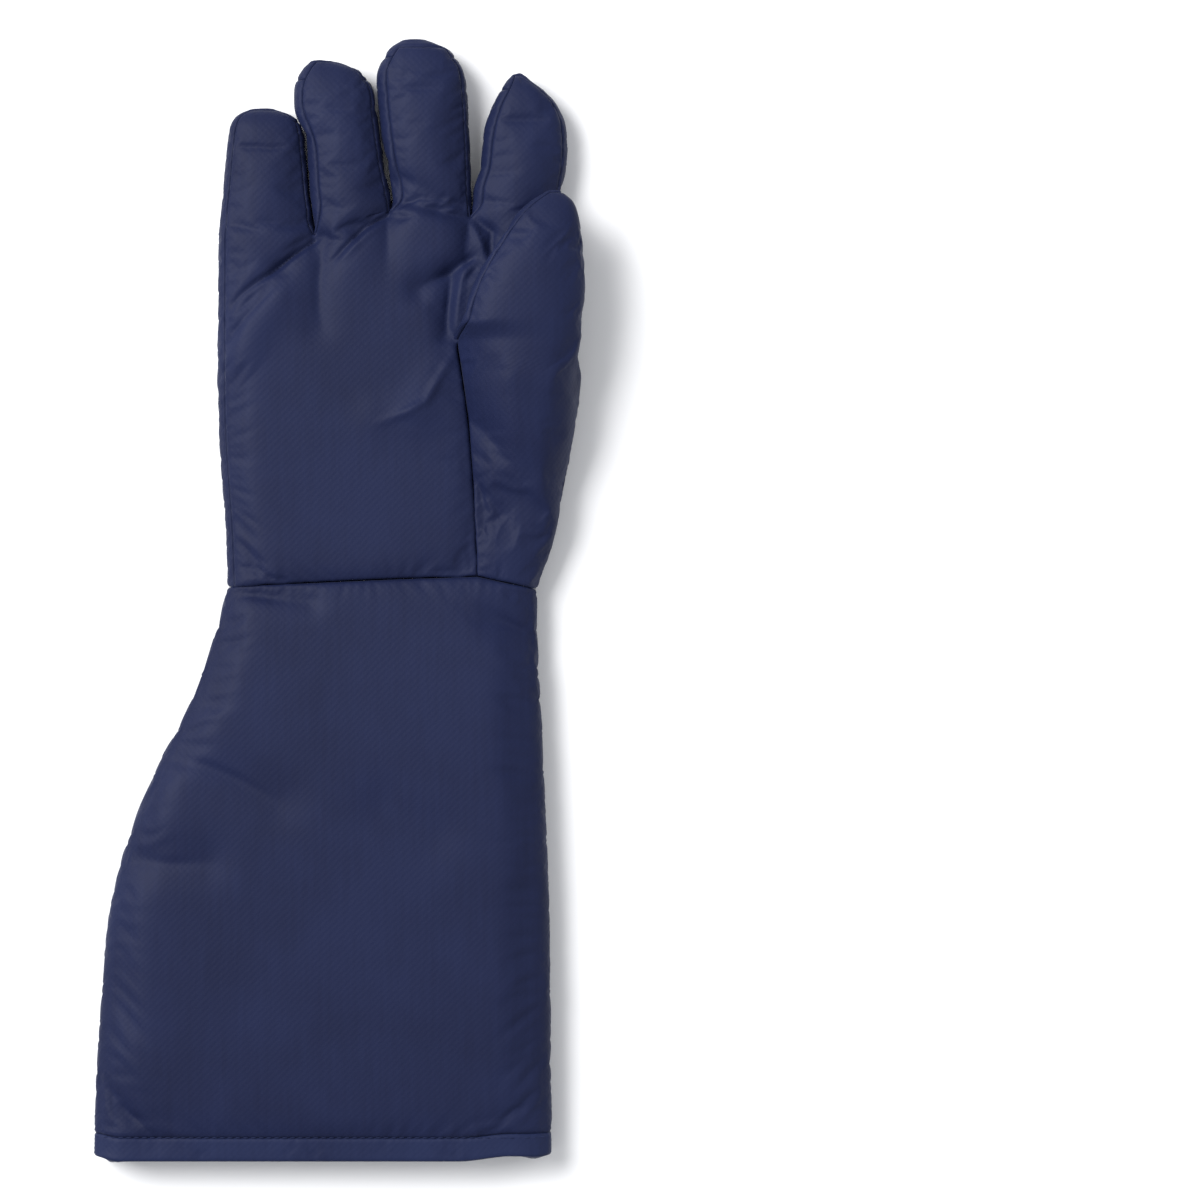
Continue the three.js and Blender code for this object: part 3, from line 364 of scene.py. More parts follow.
def palm_part(column):
    """Front, sides and back of a column below the crotch, as arrays of rows by points."""
    row = np.arange(PALM_ROWS + 1, dtype=float)[:, None]
    at = row / PALM_ROWS
    lines = curve_through(PALM_LINES[:, 0], PALM_LINES[:, 1:], at[:, 0]) * PALM_WIDTH
    left, right = lines[:, column, None], lines[:, column + 1, None]
    low_end, high_end = CROTCH[column], CROTCH[column + 1]
    part = smooth(PALM_ROWS - 6, PALM_ROWS, row) ** 2
    half = HAND_HEIGHT / 2
    share = np.linspace(0, 1, ACROSS + 1)[None, :]
    own_left, own_right = float(column == 0), float(column == 3)
    x = mix(left + OUTER_INSET * own_left, right - HIDDEN_INSET * own_right, share)
    y = mix(wrist_seam_y(x), mix(low_end, high_end, share), at)
    drop = edge_drop(x - left + OUTER_INSET * (1 - own_left), SIDE_RADIUS) * np.where(own_left, 1, part)
    drop = drop + (edge_drop(right - x + OUTER_INSET * (1 - own_right), SIDE_RADIUS)
                   * np.where(own_right, 1, part))
    swell = (FINGERS[NAMES[column]][2] - HAND_HEIGHT) * part * np.sin(math.pi * share)
    front = np.stack([x, y, half * (2 - drop) + swell], -1)
    hidden = SIDE_RADIUS * (1 - power(np.cos(BACK_SEAM)))
    share = np.linspace(0, 1, UNDER + 1)[None, :]
    x = mix(right - hidden * own_right, left + hidden * own_left, share)
    y = mix(wrist_seam_y(x), mix(high_end, low_end, share), at)
    lift = edge_lift(x - left + hidden * (1 - own_left)) * np.where(own_left, 1, part)
    lift = lift + edge_lift(right - x + hidden * (1 - own_right)) * np.where(own_right, 1, part)
    back = np.stack([x, y, half * lift], -1)
    sides = []
    for side, sign, outer, edge, end in (("left", -1, own_left, left, low_end),
                                         ("right", 1, own_right, right, high_end)):
        if outer:
            angle = side_angles(column, side, row, SIDE_RADIUS)
            x = edge - sign * SIDE_RADIUS * (1 - power(np.cos(angle)))
            y = mix(wrist_seam_y(x), end, at)
            wall = np.stack([x, y, half * (1 + section_rise(angle))], -1)
        else:
            step = np.linspace(0, 1, DOWN + 1)[None, :, None]
            ends = (front[:, :1], back[:, -1:]) if sign < 0 else (front[:, -1:], back[:, :1])
            wall = mix(ends[0], ends[1], step)
        sides.append(wall)
    return front, sides[0], back, sides[1]


def finger_part(column):
    """Front, sides and back of a free finger: superellipse sections along its length."""
    length, width, height, root, lean, table = FINGERS[NAMES[column]]
    at, left, right, high = (table[:, k, None] for k in range(4))
    middle = root * PALM_WIDTH + lean * at
    left, right = middle - left * width / 2, middle + right * width / 2
    y = (CROTCH[column] + CROTCH[column + 1]) / 2 + length * at
    radius = (right - left) / 2
    row = PALM_ROWS + 1.0 + np.arange(len(table))[:, None]

    def ring(angle):
        x = mix(left, right, (power(np.cos(angle)) + 1) / 2)
        z = height / 2 + height * high / 2 * section_rise(angle)
        return np.stack([x, y + 0 * x, z], -1)

    left_inset = OUTER_INSET if column == 0 else STRIP_INSET
    start = math.pi - inset_angle(left_inset, radius)
    end = inset_angle(HIDDEN_INSET, radius)
    share = np.linspace(0, 1, ACROSS + 1)[None, :]
    front = ring(mix(start, end, share))
    share = np.linspace(0, 1, UNDER + 1)[None, :]
    back = ring(mix(-BACK_SEAM, BACK_SEAM - math.pi, share) * np.ones_like(at))
    left_side = ring(math.pi - side_angles(column, "left", row, radius))
    right_side = ring(side_angles(column, "right", row, radius))
    return front, left_side, back, right_side


# %% [markdown]
# The rings are about ten millimetres apart, so a loft fills in between them. It reads the
# same smooth curve along every line of points. Where two columns share a line, the two
# readings are averaged, so that the columns meet exactly.

# %% Loft between the rings
PALM_STEPS = 8
FINE_STEP = 1.25


def loft(rings, knots, rows):
    """Rings at finer rows: each line of points becomes the smooth curve through its knots."""
    return curve_through(knots, rings, rows)


def hand_columns():
    """Lofted front, left side, back and right side of the four columns, and their rows."""
    lofted = []
    palm_rows = np.linspace(0, PALM_ROWS, PALM_ROWS * PALM_STEPS + 1)
    for column in range(4):
        palm, finger = palm_part(column), finger_part(column)
        whole = [np.concatenate(pair) for pair in zip(palm, finger)]
        middle = whole[0][:, ACROSS // 2]
        gaps = np.linalg.norm(np.diff(middle, axis=0), axis=1)
        knots = np.concatenate([[0.0], np.cumsum(gaps)])
        counts = np.maximum(2, np.round(gaps[PALM_ROWS:] / FINE_STEP)).astype(int)
        free_rows = np.concatenate([
            np.linspace(PALM_ROWS + k, PALM_ROWS + k + 1, n, endpoint=False)
            for k, n in enumerate(counts)] + [[PALM_ROWS + len(counts)]])
        rows = np.concatenate([palm_rows, free_rows[1:]])
        places = np.interp(rows, np.arange(len(knots)), knots)
        lofted.append([loft(part, knots, places) for part in whole] + [rows])
    crotch = len(palm_rows)
    for column in range(3):
        one, two = lofted[column], lofted[column + 1]
        for part, mine, other in ((0, -1, 0), (2, 0, -1)):
            shared = (one[part][:crotch, mine] + two[part][:crotch, other]) / 2
            one[part][:crotch, mine] = shared
            two[part][:crotch, other] = shared
        step = np.linspace(0, 1, DOWN + 1)[:, None]
        web = mix(one[0][crotch - 1, -1], one[2][crotch - 1, 0], step)
        one[3][crotch - 1] = web
        two[1][crotch - 1] = web
    for part in lofted:
        part[1][:, 0], part[1][:, -1] = part[0][:, 0], part[2][:, -1]
        part[3][:, 0], part[3][:, -1] = part[0][:, -1], part[2][:, 0]
    return lofted


# %% [markdown]
# Panels that meet share their edge points, so the lofts are joined into one skin first.
# Each face keeps the name of its panel. One skin means that one pass can smooth it, puff it
# and find its outward directions, with no step at a seam.

# %% A skin made of patches
class Skin:
    """Grids of points joined where they touch, each face with the name of its panel."""

    def __init__(self):
        self.grids = []
        self.tips = []

    def add(self, label, grid):
        """Keep a grid of rows by points, seen from outside with rows up and points to the right."""
        if grid.shape[0] > 1 and grid.shape[1] > 1:
            self.grids.append((label, grid))

    def join(self):
        """Give equal points one number, and list the four-sided faces with labels and uv."""
        points = np.concatenate([grid.reshape(-1, 3) for _, grid in self.grids])
        _, first, number = np.unique(np.round(points, 3), axis=0, return_index=True, return_inverse=True)
        self.points = points[first]
        faces, labels, uvs, start = [], [], [], 0
        for label, grid in self.grids:
            rows, cols = grid.shape[:2]
            order = number.reshape(-1)[start:start + rows * cols].reshape(rows, cols)
            start += rows * cols
            corners = [order[:-1, :-1], order[:-1, 1:], order[1:, 1:], order[1:, :-1]]
            faces.append(np.stack(corners, -1).reshape(-1, 4))
            across = np.cumsum(np.linalg.norm(np.diff(grid, axis=1, prepend=grid[:, :1]), axis=2), axis=1)
            across += grid[:, :1, 0]
            plane = np.stack([across, grid[..., 1]], -1) * MM
            corners = [plane[:-1, :-1], plane[:-1, 1:], plane[1:, 1:], plane[1:, :-1]]
            uvs.append(np.stack(corners, -2).reshape(-1, 4, 2))
            labels += [label] * ((rows - 1) * (cols - 1))
        self.faces = np.concatenate(faces)
        self.uvs = np.concatenate(uvs)
        self.labels = np.array(labels)
        flat = (self.faces[:, 0] == self.faces[:, 1]) & (self.faces[:, 2] == self.faces[:, 3])
        self.faces, self.uvs, self.labels = self.faces[~flat], self.uvs[~flat], self.labels[~flat]

    def normals(self):
        """Outward direction of each point: the sum of its faces' area vectors, made one long."""
        corner = self.points[self.faces]
        area = np.cross(corner[:, 2] - corner[:, 0], corner[:, 3] - corner[:, 1])
        total = np.zeros_like(self.points)
        for axis in range(3):
            weight = np.repeat(area[:, axis], 4)
            total[:, axis] = np.bincount(self.faces.ravel(), weight, len(self.points))
        return total / np.maximum(np.linalg.norm(total, axis=1, keepdims=True), 1e-9)

    def relax(self, rounds, share=0.5):
        """Move each point toward the mean of its neighbours, a share of the way, some rounds."""
        edges = np.concatenate([self.faces[:, [k, (k + 1) % 4]] for k in range(4)])
        edges = np.unique(np.sort(edges, axis=1), axis=0)
        edges = edges[edges[:, 0] != edges[:, 1]]
        degree = np.bincount(edges.ravel(), minlength=len(self.points))
        fixed = self.rim_points()
        for _ in range(rounds):
            mean = np.zeros_like(self.points)
            for axis in range(3):
                value = self.points[:, axis]
                mean[:, axis] = (np.bincount(edges[:, 0], value[edges[:, 1]], len(value))
                                 + np.bincount(edges[:, 1], value[edges[:, 0]], len(value)))
            mean /= np.maximum(degree, 1)[:, None]
            mean[fixed] = self.points[fixed]
            self.points = mix(self.points, mean, share)

    def rim_points(self):
        """Numbers of the points on the open edge of the whole skin."""
        return np.unique(rim_edges(self.faces))


def rim_edges(faces):
    """Edges that only one of the faces uses, as pairs in that face's own direction."""
    edges = np.concatenate([faces[:, [k, (k + 1) % 4]] for k in range(4)])
    edges = edges[edges[:, 0] != edges[:, 1]]
    size = int(edges.max()) + 1
    forward = edges[:, 0] * size + edges[:, 1]
    backward = edges[:, 1] * size + edges[:, 0]
    return edges[~np.isin(forward, backward)]


def closing_rings(ring, rise, count=5):
    """Rings that close a tube: the last ring shrinks onto its middle along a low dome."""
    hub = ring[:-1].mean(axis=0)
    turn = np.linspace(0, math.pi / 2, count + 1)[:, None, None]
    rings = hub + (ring - hub) * np.cos(turn)
    rings[..., 1] += rise * np.sin(turn[..., 0])
    rings[-1] = rings[-1].mean(axis=0)
    return rings


# %% [markdown]
# On the real glove the back panel is one piece with the little finger's outer side and the
# caps of the fingertips, and narrow side strips run between the fingers. The labels below
# cut the skin along those same lines.

# %% The skin of the hand
def hand_skin():
    """The four lofted columns as one skin, with the thumb's opening as faces of its own."""
    skin = Skin()
    columns = hand_columns()
    for column, (front, left, back, right, rows) in enumerate(columns):
        at = lambda row: int(np.argmin(np.abs(rows - row)))
        crotch, tip = at(PALM_ROWS), at(PALM_ROWS + TIP_SEAM_ROWS[NAMES[column]])
        strip = at(PALM_ROWS + STRIP_END_ROW)
        opening = at(THUMB_ROW) if column == 3 else 0
        skin.add("opening", front[:opening + 1])
        skin.add("palm_panel", front[opening:tip + 1])
        skin.add("back_panel", front[tip:])
        skin.add("back_panel", back)
        inner_left = left[:, ::-1]
        if column == 0:
            skin.add("back_panel", inner_left)
        else:
            skin.add(f"fourchette_{NAMES[column - 1]}_{NAMES[column]}", inner_left[crotch:strip + 1])
            skin.add("back_panel", inner_left[strip:])
        if column == 3:
            seam = DOWN * 2 // 3
            skin.add("opening", right[:opening + 1, :seam + 1])
            skin.add("back_panel", right[:opening + 1, seam:])
            skin.add("back_panel", right[opening:])
            skin.palm_edge = front[:opening + 1, 0]
        else:
            skin.add(f"fourchette_{NAMES[column]}_{NAMES[column + 1]}", right[crotch:strip + 1])
            skin.add("back_panel", right[strip:])
        ring = np.concatenate([front[-1], right[-1, 1:], back[-1, 1:], left[-1, ::-1][1:]])
        skin.add("back_panel", closing_rings(ring, 0.8))
        skin.tips.append(ring.mean(axis=0))
    skin.join()
    return skin


def crease_hand(skin):
    """Press the folds of the palm into the upper side of the skin."""
    x, y, z = skin.points.T
    top = smooth(0.55, 0.95, z / HAND_HEIGHT)
    skin.points[:, 2] = z - top * fold_depth(PALM_FOLDS, x, y)


def soften(skin, rounds, low, high, end):
    """Smooth only the height of points above low to high, and below end along the hand."""
    before = skin.points.copy()
    skin.relax(rounds)
    share = smooth(low, high, before[:, 2]) * (1 - smooth(end, end + 30, before[:, 1]))
    after = skin.points[:, 2]
    skin.points = before.copy()
    skin.points[:, 2] = mix(before[:, 2], after, share)


hand = hand_skin()
hand.relax(2)
soften(hand, 40, 0.6 * HAND_HEIGHT, 0.8 * HAND_HEIGHT, 135)
crease_hand(hand)
print("hand skin:", len(hand.points), "points,", len(hand.faces), "faces")

# %% [markdown]
# The thumb is folded over the palm. Low down it is only an arch that rises from the seam
# with the palm; above its crotch it becomes a free tube. The same numbers draw both, and a
# smooth share turns one into the other.

# %% The skin of the thumb
THUMB_ACROSS = 64
THUMB_UNDER_COUNT = 36


def side_seam_z(y):
    """Height of the thumb's side seam, which climbs over the hand's edge at the crotch."""
    return mix(SIDE_SEAM_HEIGHT, HAND_HEIGHT + 0.8, smooth(THUMB_CROTCH - 20, THUMB_CROTCH - 1, y))


def thumb_rings():
    """Front rings and under rings of the thumb, an arch low down and a tube above."""
    at, left, right, top = (THUMB[:, k, None] for k in range(4))
    level = at * THUMB_LENGTH
    free = smooth(THUMB_CROTCH - 20, THUMB_CROTCH - 1, level)
    bottom = HAND_HEIGHT + 2 * SEAM_GAP
    left_x, right_x = left * PALM_WIDTH + SEAM_GAP / 2, right * PALM_WIDTH
    peak = top * (bottom + THUMB_HEIGHT)
    middle = bottom + THUMB_HEIGHT / 2
    half_width = (right_x - left_x) / 2
    half_height = np.maximum(0.2, np.minimum(THUMB_HEIGHT / 2, peak - middle))
    left_angle = math.pi - inset_angle(THUMB_INSET, half_width)
    share = np.linspace(0, 1, THUMB_ACROSS + 1)[None, :]
    x = mix(left_x, right_x - THUMB_SIDE_RADIUS, np.minimum(share, 0.6) / 0.6)
    z = peak - (peak - HAND_HEIGHT) * np.maximum(0, 1 - (x - left_x) / (1.6 * THUMB_SIDE_RADIUS)) ** 2
    rise = 1 - side_seam_z(level) / (peak / 2)
    arch_end = -np.sign(rise) * np.arcsin(np.minimum(1, np.abs(rise)) ** (ROUNDNESS / 2))
    angle = mix(math.pi / 2, arch_end, np.maximum(0, share - 0.6) / 0.4)
    x = np.where(share > 0.6, right_x - THUMB_SIDE_RADIUS * (1 - power(np.cos(angle))), x)
    z = np.where(share > 0.6, peak / 2 * (1 + power(np.sin(angle))), z)
    angle = mix(left_angle, -THUMB_UNDER, share)
    x = mix(x, left_x + half_width * (1 + power(np.cos(angle))), free)
    z = mix(z, middle + half_height * power(np.sin(angle)), free)
    sag = 1 - np.minimum(1, level / WRIST_SEAM_REACH)
    front = np.stack([x, level + sag * wrist_seam_y(x), z], -1)
    share = np.linspace(0, 1, THUMB_UNDER_COUNT + 1)[None, :]
    angle = mix(-THUMB_UNDER, left_angle - math.tau, share)
    x = left_x + half_width * (1 + power(np.cos(angle)))
    z = middle + half_height * power(np.sin(angle))
    ends = front[:, -1:, 2], front[:, :1, 2]
    lift = mix(ends[0], ends[1], share) - mix(z[:, :1], z[:, -1:], share)
    under = np.stack([x, level + 0 * x, np.maximum(bottom, z + lift)], -1)
    under[:, 0], under[:, -1] = front[:, -1], front[:, 0]
    return front, under


def thumb_skin():
    """The lofted thumb: its front all the way up, its underside above the crotch."""
    front, under = thumb_rings()
    middle = front[:, THUMB_ACROSS // 2]
    gaps = np.linalg.norm(np.diff(middle, axis=0), axis=1)
    knots = np.concatenate([[0.0], np.cumsum(gaps)])
    counts = np.maximum(2, np.round(gaps / FINE_STEP)).astype(int)
    rows = np.concatenate([np.linspace(k, k + 1, n, endpoint=False) for k, n in enumerate(counts)]
                          + [[len(counts)]])
    places = np.interp(rows, np.arange(len(knots)), knots)
    front, under = loft(front, knots, places), loft(under, knots, places)
    at = lambda row: int(np.argmin(np.abs(rows - row)))
    free, tip = at(THUMB_FREE_ROW), at(THUMB_TIP_ROW)
    skin = Skin()
    skin.add("thumb_front", front[:tip + 1])
    skin.add("thumb_back", front[tip:])
    skin.add("thumb_back", under[free:])
    skin.add("thumb_back", closing_rings(np.concatenate([front[-1], under[-1, 1:]]), 0.8))
    skin.tips.append(front[-1].mean(axis=0))
    skin.left_edge = front[:free + 1, 0]
    skin.join()
    return skin


def meet_palm(skin, palm):
    """Shift the thumb's left edge onto the edge of the palm's opening, fading to the right."""
    away = ((palm.points[None] - palm.palm_edge[:, None]) ** 2).sum(axis=2)
    side = palm.points[np.argmin(away, axis=1)]
    side = side[np.argsort(side[:, 1])]
    own = skin.left_edge[np.argsort(skin.left_edge[:, 1])]
    x, y, z = skin.points.T
    edge_x = np.interp(y, own[:, 1], own[:, 0])
    share = np.exp(-np.maximum(0, x - edge_x) / 10) * (1 - smooth(THUMB_CROTCH, THUMB_CROTCH + 10, y))
    skin.points[:, 0] = x + share * (np.interp(y, side[:, 1], side[:, 0]) - edge_x)
    lift = np.interp(y, side[:, 1], side[:, 2]) - np.interp(y, own[:, 1], own[:, 2])
    skin.points[:, 2] = z + share * lift
    return np.abs(np.interp(own[:, 1], side[:, 1], side[:, 0]) - own[:, 0]).max()


thumb = thumb_skin()
thumb.relax(2)
x, y, z = thumb.points.T
thumb.points[:, 2] = z - smooth(14.0, 24.0, z) * fold_depth(THUMB_FOLDS, x, y)
print("thumb skin:", len(thumb.points), "points,", len(thumb.faces), "faces")

# %% [markdown]
# The gauntlet is one flared tube. A ring goes across the front, down the right side, back
# under and up the left side. The hem is the last eleven millimetres, turned in and stitched.

# %% The skin of the gauntlet
GAUNTLET_ACROSS = 130
GAUNTLET_DOWN = 10
GAUNTLET_STEPS = 170
HEM_STEPS = 10


def gauntlet_grids(at):
    """Rings of the flared tube at the given shares of its length: front, right, back, left."""
    row = curve_through(GAUNTLET[:, 0], GAUNTLET[:, 1:], at)
    at = at[:, None]
    left = mix(-WRIST_WIDTH / 2, OPEN_END_SHIFT - OPEN_END_WIDTH / 2, row[:, 0, None])
    right = mix(WRIST_WIDTH / 2, OPEN_END_SHIFT + OPEN_END_WIDTH / 2, row[:, 1, None])
    half = row[:, 2, None] * GAUNTLET_HEIGHT / 2
    level = -at * GAUNTLET_LENGTH
    sag = 1 - np.minimum(1, -level / WRIST_SEAM_REACH)

    def place(x, z):
        return np.stack([x, level + sag * wrist_seam_y(x), z], -1)

    share = np.linspace(0, 1, GAUNTLET_ACROSS + 1)[None, :]
    x = mix(left + OUTER_INSET, right - OUTER_INSET, share)
    front = place(x, half * (2 - edge_drop(x - left, SIDE_RADIUS) - edge_drop(right - x, SIDE_RADIUS)))
    hidden = SIDE_RADIUS * (1 - power(np.cos(BACK_SEAM)))
    x = mix(right - hidden, left + hidden, share)
    back = place(x, half * (edge_lift(x - left) + edge_lift(right - x)))
    angle = mix(inset_angle(OUTER_INSET, SIDE_RADIUS), -BACK_SEAM, np.linspace(0, 1, GAUNTLET_DOWN + 1))
    inward = SIDE_RADIUS * (1 - power(np.cos(angle)))
    rise = half * (1 + section_rise(angle))
    right_side, left_side = place(right - inward, rise), place(left + inward, rise)
    right_side[:, 0], right_side[:, -1] = front[:, -1], back[:, 0]
    left_side[:, 0], left_side[:, -1] = front[:, 0], back[:, -1]
    return front, right_side, back, left_side[:, ::-1]


def gauntlet_skin():
    """The sleeve and the hem as one skin, rows from the open end up to the wrist.

    The open end isn't quite straight: its two corners lie a few millimetres higher."""
    start = 1 - HEM_DEPTH / GAUNTLET_LENGTH
    skin = Skin()
    for label, low, high, count in (("gauntlet_hem", 1.0, start, HEM_STEPS),
                                    ("gauntlet_sleeve", start, 0.0, GAUNTLET_STEPS)):
        grids = gauntlet_grids(np.linspace(low, high, count + 1))
        for part, grid in zip(("front", "back", "back", "back"), grids):
            skin.add(f"{label}/{part}", grid)
    skin.join()
    soften(skin, 60, 0.6 * GAUNTLET_HEIGHT, 0.8 * GAUNTLET_HEIGHT, 0)
    x, y, z = skin.points.T
    rise = 1.2 + 2.4 * smooth(36, 60, x) + 2.0 * smooth(120, 133, -x)
    skin.points[:, 1] = y + rise * (1 - smooth(-266, -235, y))
    skin.points[:, 2] = z - smooth(0.55, 0.95, z / GAUNTLET_HEIGHT) * fold_depth(GAUNTLET_FOLDS, x, y)
    return skin


gauntlet = gauntlet_skin()
print("gauntlet skin:", len(gauntlet.points), "points,", len(gauntlet.faces), "faces")

# %% [markdown]
# Wadding pushes the cloth out while the seams hold it, and the cloth between them is cut a
# little too large, so it buckles. Blender's cloth does all three: the seam lines are pinned,
# air pressure stands for the wadding, and a negative shrink makes the cloth grow. The
# simulation runs on the whole skin, larger than life so that its forces suit the solver, and
# each point may move only a little. The underside is pinned where it lies on the table.

# %% Puff the skins with cloth
SIM_SCALE = 0.004
SIM_FRAMES = 20
SIM_PRESSURE = 2.0
SIM_GROWTH = 0.016
SIM_BENDING = 0.6
FURTHEST_MOVE = 2.2
TIP_HELD_WHOLLY = 11.0
TIP_HELD_UNTIL = 22.0
HEM_HELD = 0.7
TABLE_TOUCH = 0.6


def seam_points(skin):
    """Numbers of the points where faces of two panels meet, and of the open edges."""
    edge = [np.unique(rim_edges(skin.faces[skin.labels == label])) for label in np.unique(skin.labels)]
    return np.unique(np.concatenate(edge))


def puff(skin):
    """Move the skin by a short cloth simulation.

    Step of a point = furthest * tanh(simulated step / furthest), so it never passes that."""
    mesh = bpy.data.meshes.new("puff")
    repeat = skin.faces == np.roll(skin.faces, 1, axis=1)
    squares = skin.faces[~repeat.any(axis=1)].tolist()
    triangles = skin.faces[repeat.any(axis=1)][~repeat[repeat.any(axis=1)]].reshape(-1, 3).tolist()
    mesh.from_pydata((skin.points * SIM_SCALE).tolist(), [], squares + triangles)
    body = bpy.data.objects.new("puff", mesh)
    bpy.context.scene.collection.objects.link(body)
    held = body.vertex_groups.new(name="held")
    weight = np.zeros(len(skin.points))
    for tip in skin.tips:
        away = np.linalg.norm(skin.points - tip, axis=1)
        weight = np.maximum(weight, 1 - smooth(TIP_HELD_WHOLLY, TIP_HELD_UNTIL, away))
    hem = np.unique(skin.faces[np.char.startswith(skin.labels, "gauntlet_hem")])
    weight[hem] = HEM_HELD
    weight[skin.points[:, 2] < TABLE_TOUCH] = 1
    weight[seam_points(skin)] = 1
    for step in range(1, 11):
        level = np.flatnonzero(np.round(weight * 10) == step)
        held.add(level.tolist(), step / 10, "REPLACE")
    cloth = body.modifiers.new("cloth", "CLOTH")
    cloth.settings.quality = 4
    cloth.settings.mass = 0.3
    cloth.settings.tension_stiffness = 15
    cloth.settings.compression_stiffness = 15
    cloth.settings.shear_stiffness = 5
    cloth.settings.bending_stiffness = SIM_BENDING
    cloth.settings.use_pressure = True
    cloth.settings.uniform_pressure_force = SIM_PRESSURE
    cloth.settings.shrink_min = -SIM_GROWTH
    cloth.settings.vertex_group_mass = "held"
    cloth.settings.effector_weights.gravity = 0
    cloth.collision_settings.use_collision = False
    cloth.point_cache.frame_start, cloth.point_cache.frame_end = 1, SIM_FRAMES
    for number in range(1, SIM_FRAMES + 1):
        bpy.context.scene.frame_set(number)
    result = body.evaluated_get(bpy.context.evaluated_depsgraph_get()).to_mesh()
    moved = np.empty(len(result.vertices) * 3, np.float32)
    result.vertices.foreach_get("co", moved)
    bpy.data.objects.remove(body)
    bpy.data.meshes.remove(mesh)
    bpy.context.scene.frame_set(1)
    step = moved.reshape(-1, 3) / SIM_SCALE - skin.points
    size = np.linalg.norm(step, axis=1, keepdims=True)
    eased = FURTHEST_MOVE * np.tanh(size / FURTHEST_MOVE)
    skin.points = skin.points + step * eased / np.maximum(size, 1e-9)
    skin.points[:, 2] = np.maximum(skin.points[:, 2], 0)
    return float(size.mean()), float(size.max())


for name, skin in (("hand", hand), ("thumb", thumb), ("gauntlet", gauntlet)):
    began = time.time()
    moved = puff(skin)
    print(name, "cloth would move by mean and most, mm:", np.round(moved, 2),
          "in", round(time.time() - began, 1), "s")

# %% [markdown]
# The creases that the hand has pressed into the cloth are sharper than the solver can keep,
# so they go in after it. Each is a bent line with one steep wall and one gentle one.

# %% Press in the creases
def press(skin, creases, low, high, share):
    """Lower the upper side by a share of the creases' depth; low to high fades it in."""
    x, y, z = skin.points.T
    skin.points[:, 2] = z - share * smooth(low, high, z) * crease_depth(creases, x, y)


print("thumb edge moved by at most", round(meet_palm(thumb, hand), 2), "mm")
press(hand, PALM_CREASES, low=9.0, high=15.0, share=1.4)
press(thumb, THUMB_CREASES, low=14.0, high=22.0, share=1.2)
press(gauntlet, GAUNTLET_CREASES, low=11.0, high=17.0, share=1.3)

# %% [markdown]
# Each panel now becomes a padded wall. Its edge rolls in toward the seam, as it does when
# two filled panels are stitched and turned, and the thread gathers the cloth into short
# puckers that stand square to the seam. Below the outer face lies an inner face one padding
# thickness in, and a narrow wall joins the two along the edge.

# %% From skin to padded panel
SEAM_LINE_DEPTH = 0.35
PUCKER_REACH = 8.0
PUCKER_DEPTH = 0.25
SEAM_SPACE = 0.03


def nearest_on_rim(points, rim):
    """Distance to the nearest point of the rim and its number, worked out in blocks."""
    distance = np.empty(len(points))
    number = np.empty(len(points), int)
    for start in range(0, len(points), 2000):
        block = points[start:start + 2000]
        square = ((block[:, None, :] - rim[None, :, :]) ** 2).sum(-1)
        number[start:start + 2000] = square.argmin(1)
        distance[start:start + 2000] = np.sqrt(square.min(1))
    return distance, number


def panel_shell(skin, label, thickness, seed, width, roll):
    """Points, faces and uv of a panel as a closed wall.

    Outer point = skin point - normal * (roll depth * (1 - quarter circle of the distance to
    the edge) + pucker); inner point = skin point - normal * thickness."""
    own = np.char.startswith(skin.labels, label)
    used, faces = np.unique(skin.faces[own], return_inverse=True)
    faces = faces.reshape(-1, 4)
    points, normal = skin.points[used], skin.normals()[used]
    rim = rim_edges(faces)
    along = points[rim[:, 1]] - points[rim[:, 0]]
    along /= np.maximum(np.linalg.norm(along, axis=1, keepdims=True), 1e-9)
    inward = np.zeros_like(points)
    for end in (0, 1):
        np.add.at(inward, rim[:, end], np.cross(normal[rim[:, end]], along))
    edge = np.unique(rim)
    inward[edge] /= np.maximum(np.linalg.norm(inward[edge], axis=1, keepdims=True), 1e-9)
    distance, nearest = nearest_on_rim(points, points[edge])
    sewn = [np.unique(faces[skin.labels[own] == part]) for part in np.unique(skin.labels[own])]
    sewn = np.intersect1d(sewn[0], sewn[1]) if len(sewn) == 2 else np.zeros(0, int)
    near = points[edge][nearest]
    reach = np.clip(1 - distance / width, 0, 1)
    depth = roll * (1 - np.sqrt(1 - reach ** 2))
    ripple = waves(near[:, 0] + 0.7 * near[:, 2], near[:, 1], 7.0, seed)
    ripple = ripple * smooth(-0.6, 1.2, waves(near[:, 0], near[:, 1], 34.0, seed + 1))
    depth += PUCKER_DEPTH * ripple * np.exp(-(distance / PUCKER_REACH) ** 2) * smooth(0.0, 2.0, distance)
    if len(sewn):
        away, _ = nearest_on_rim(points, points[sewn])
        depth += SEAM_LINE_DEPTH * np.exp(-away ** 2)
    outer = points - normal * depth[:, None] + inward * SEAM_SPACE
    inner = points - normal * thickness + inward * SEAM_SPACE
    outer[:, 2], inner[:, 2] = np.maximum(outer[:, 2], 0), np.maximum(inner[:, 2], 0.4)
    count = len(points)
    wall = np.stack([rim[:, 1], rim[:, 0], rim[:, 0] + count, rim[:, 1] + count], -1)
    every = np.concatenate([faces, faces[:, ::-1] + count, wall])
    uv = skin.uvs[own]
    wall_uv = np.zeros((len(wall), 4, 2))
    return np.concatenate([outer, inner]), every, np.concatenate([uv, uv[:, ::-1], wall_uv])


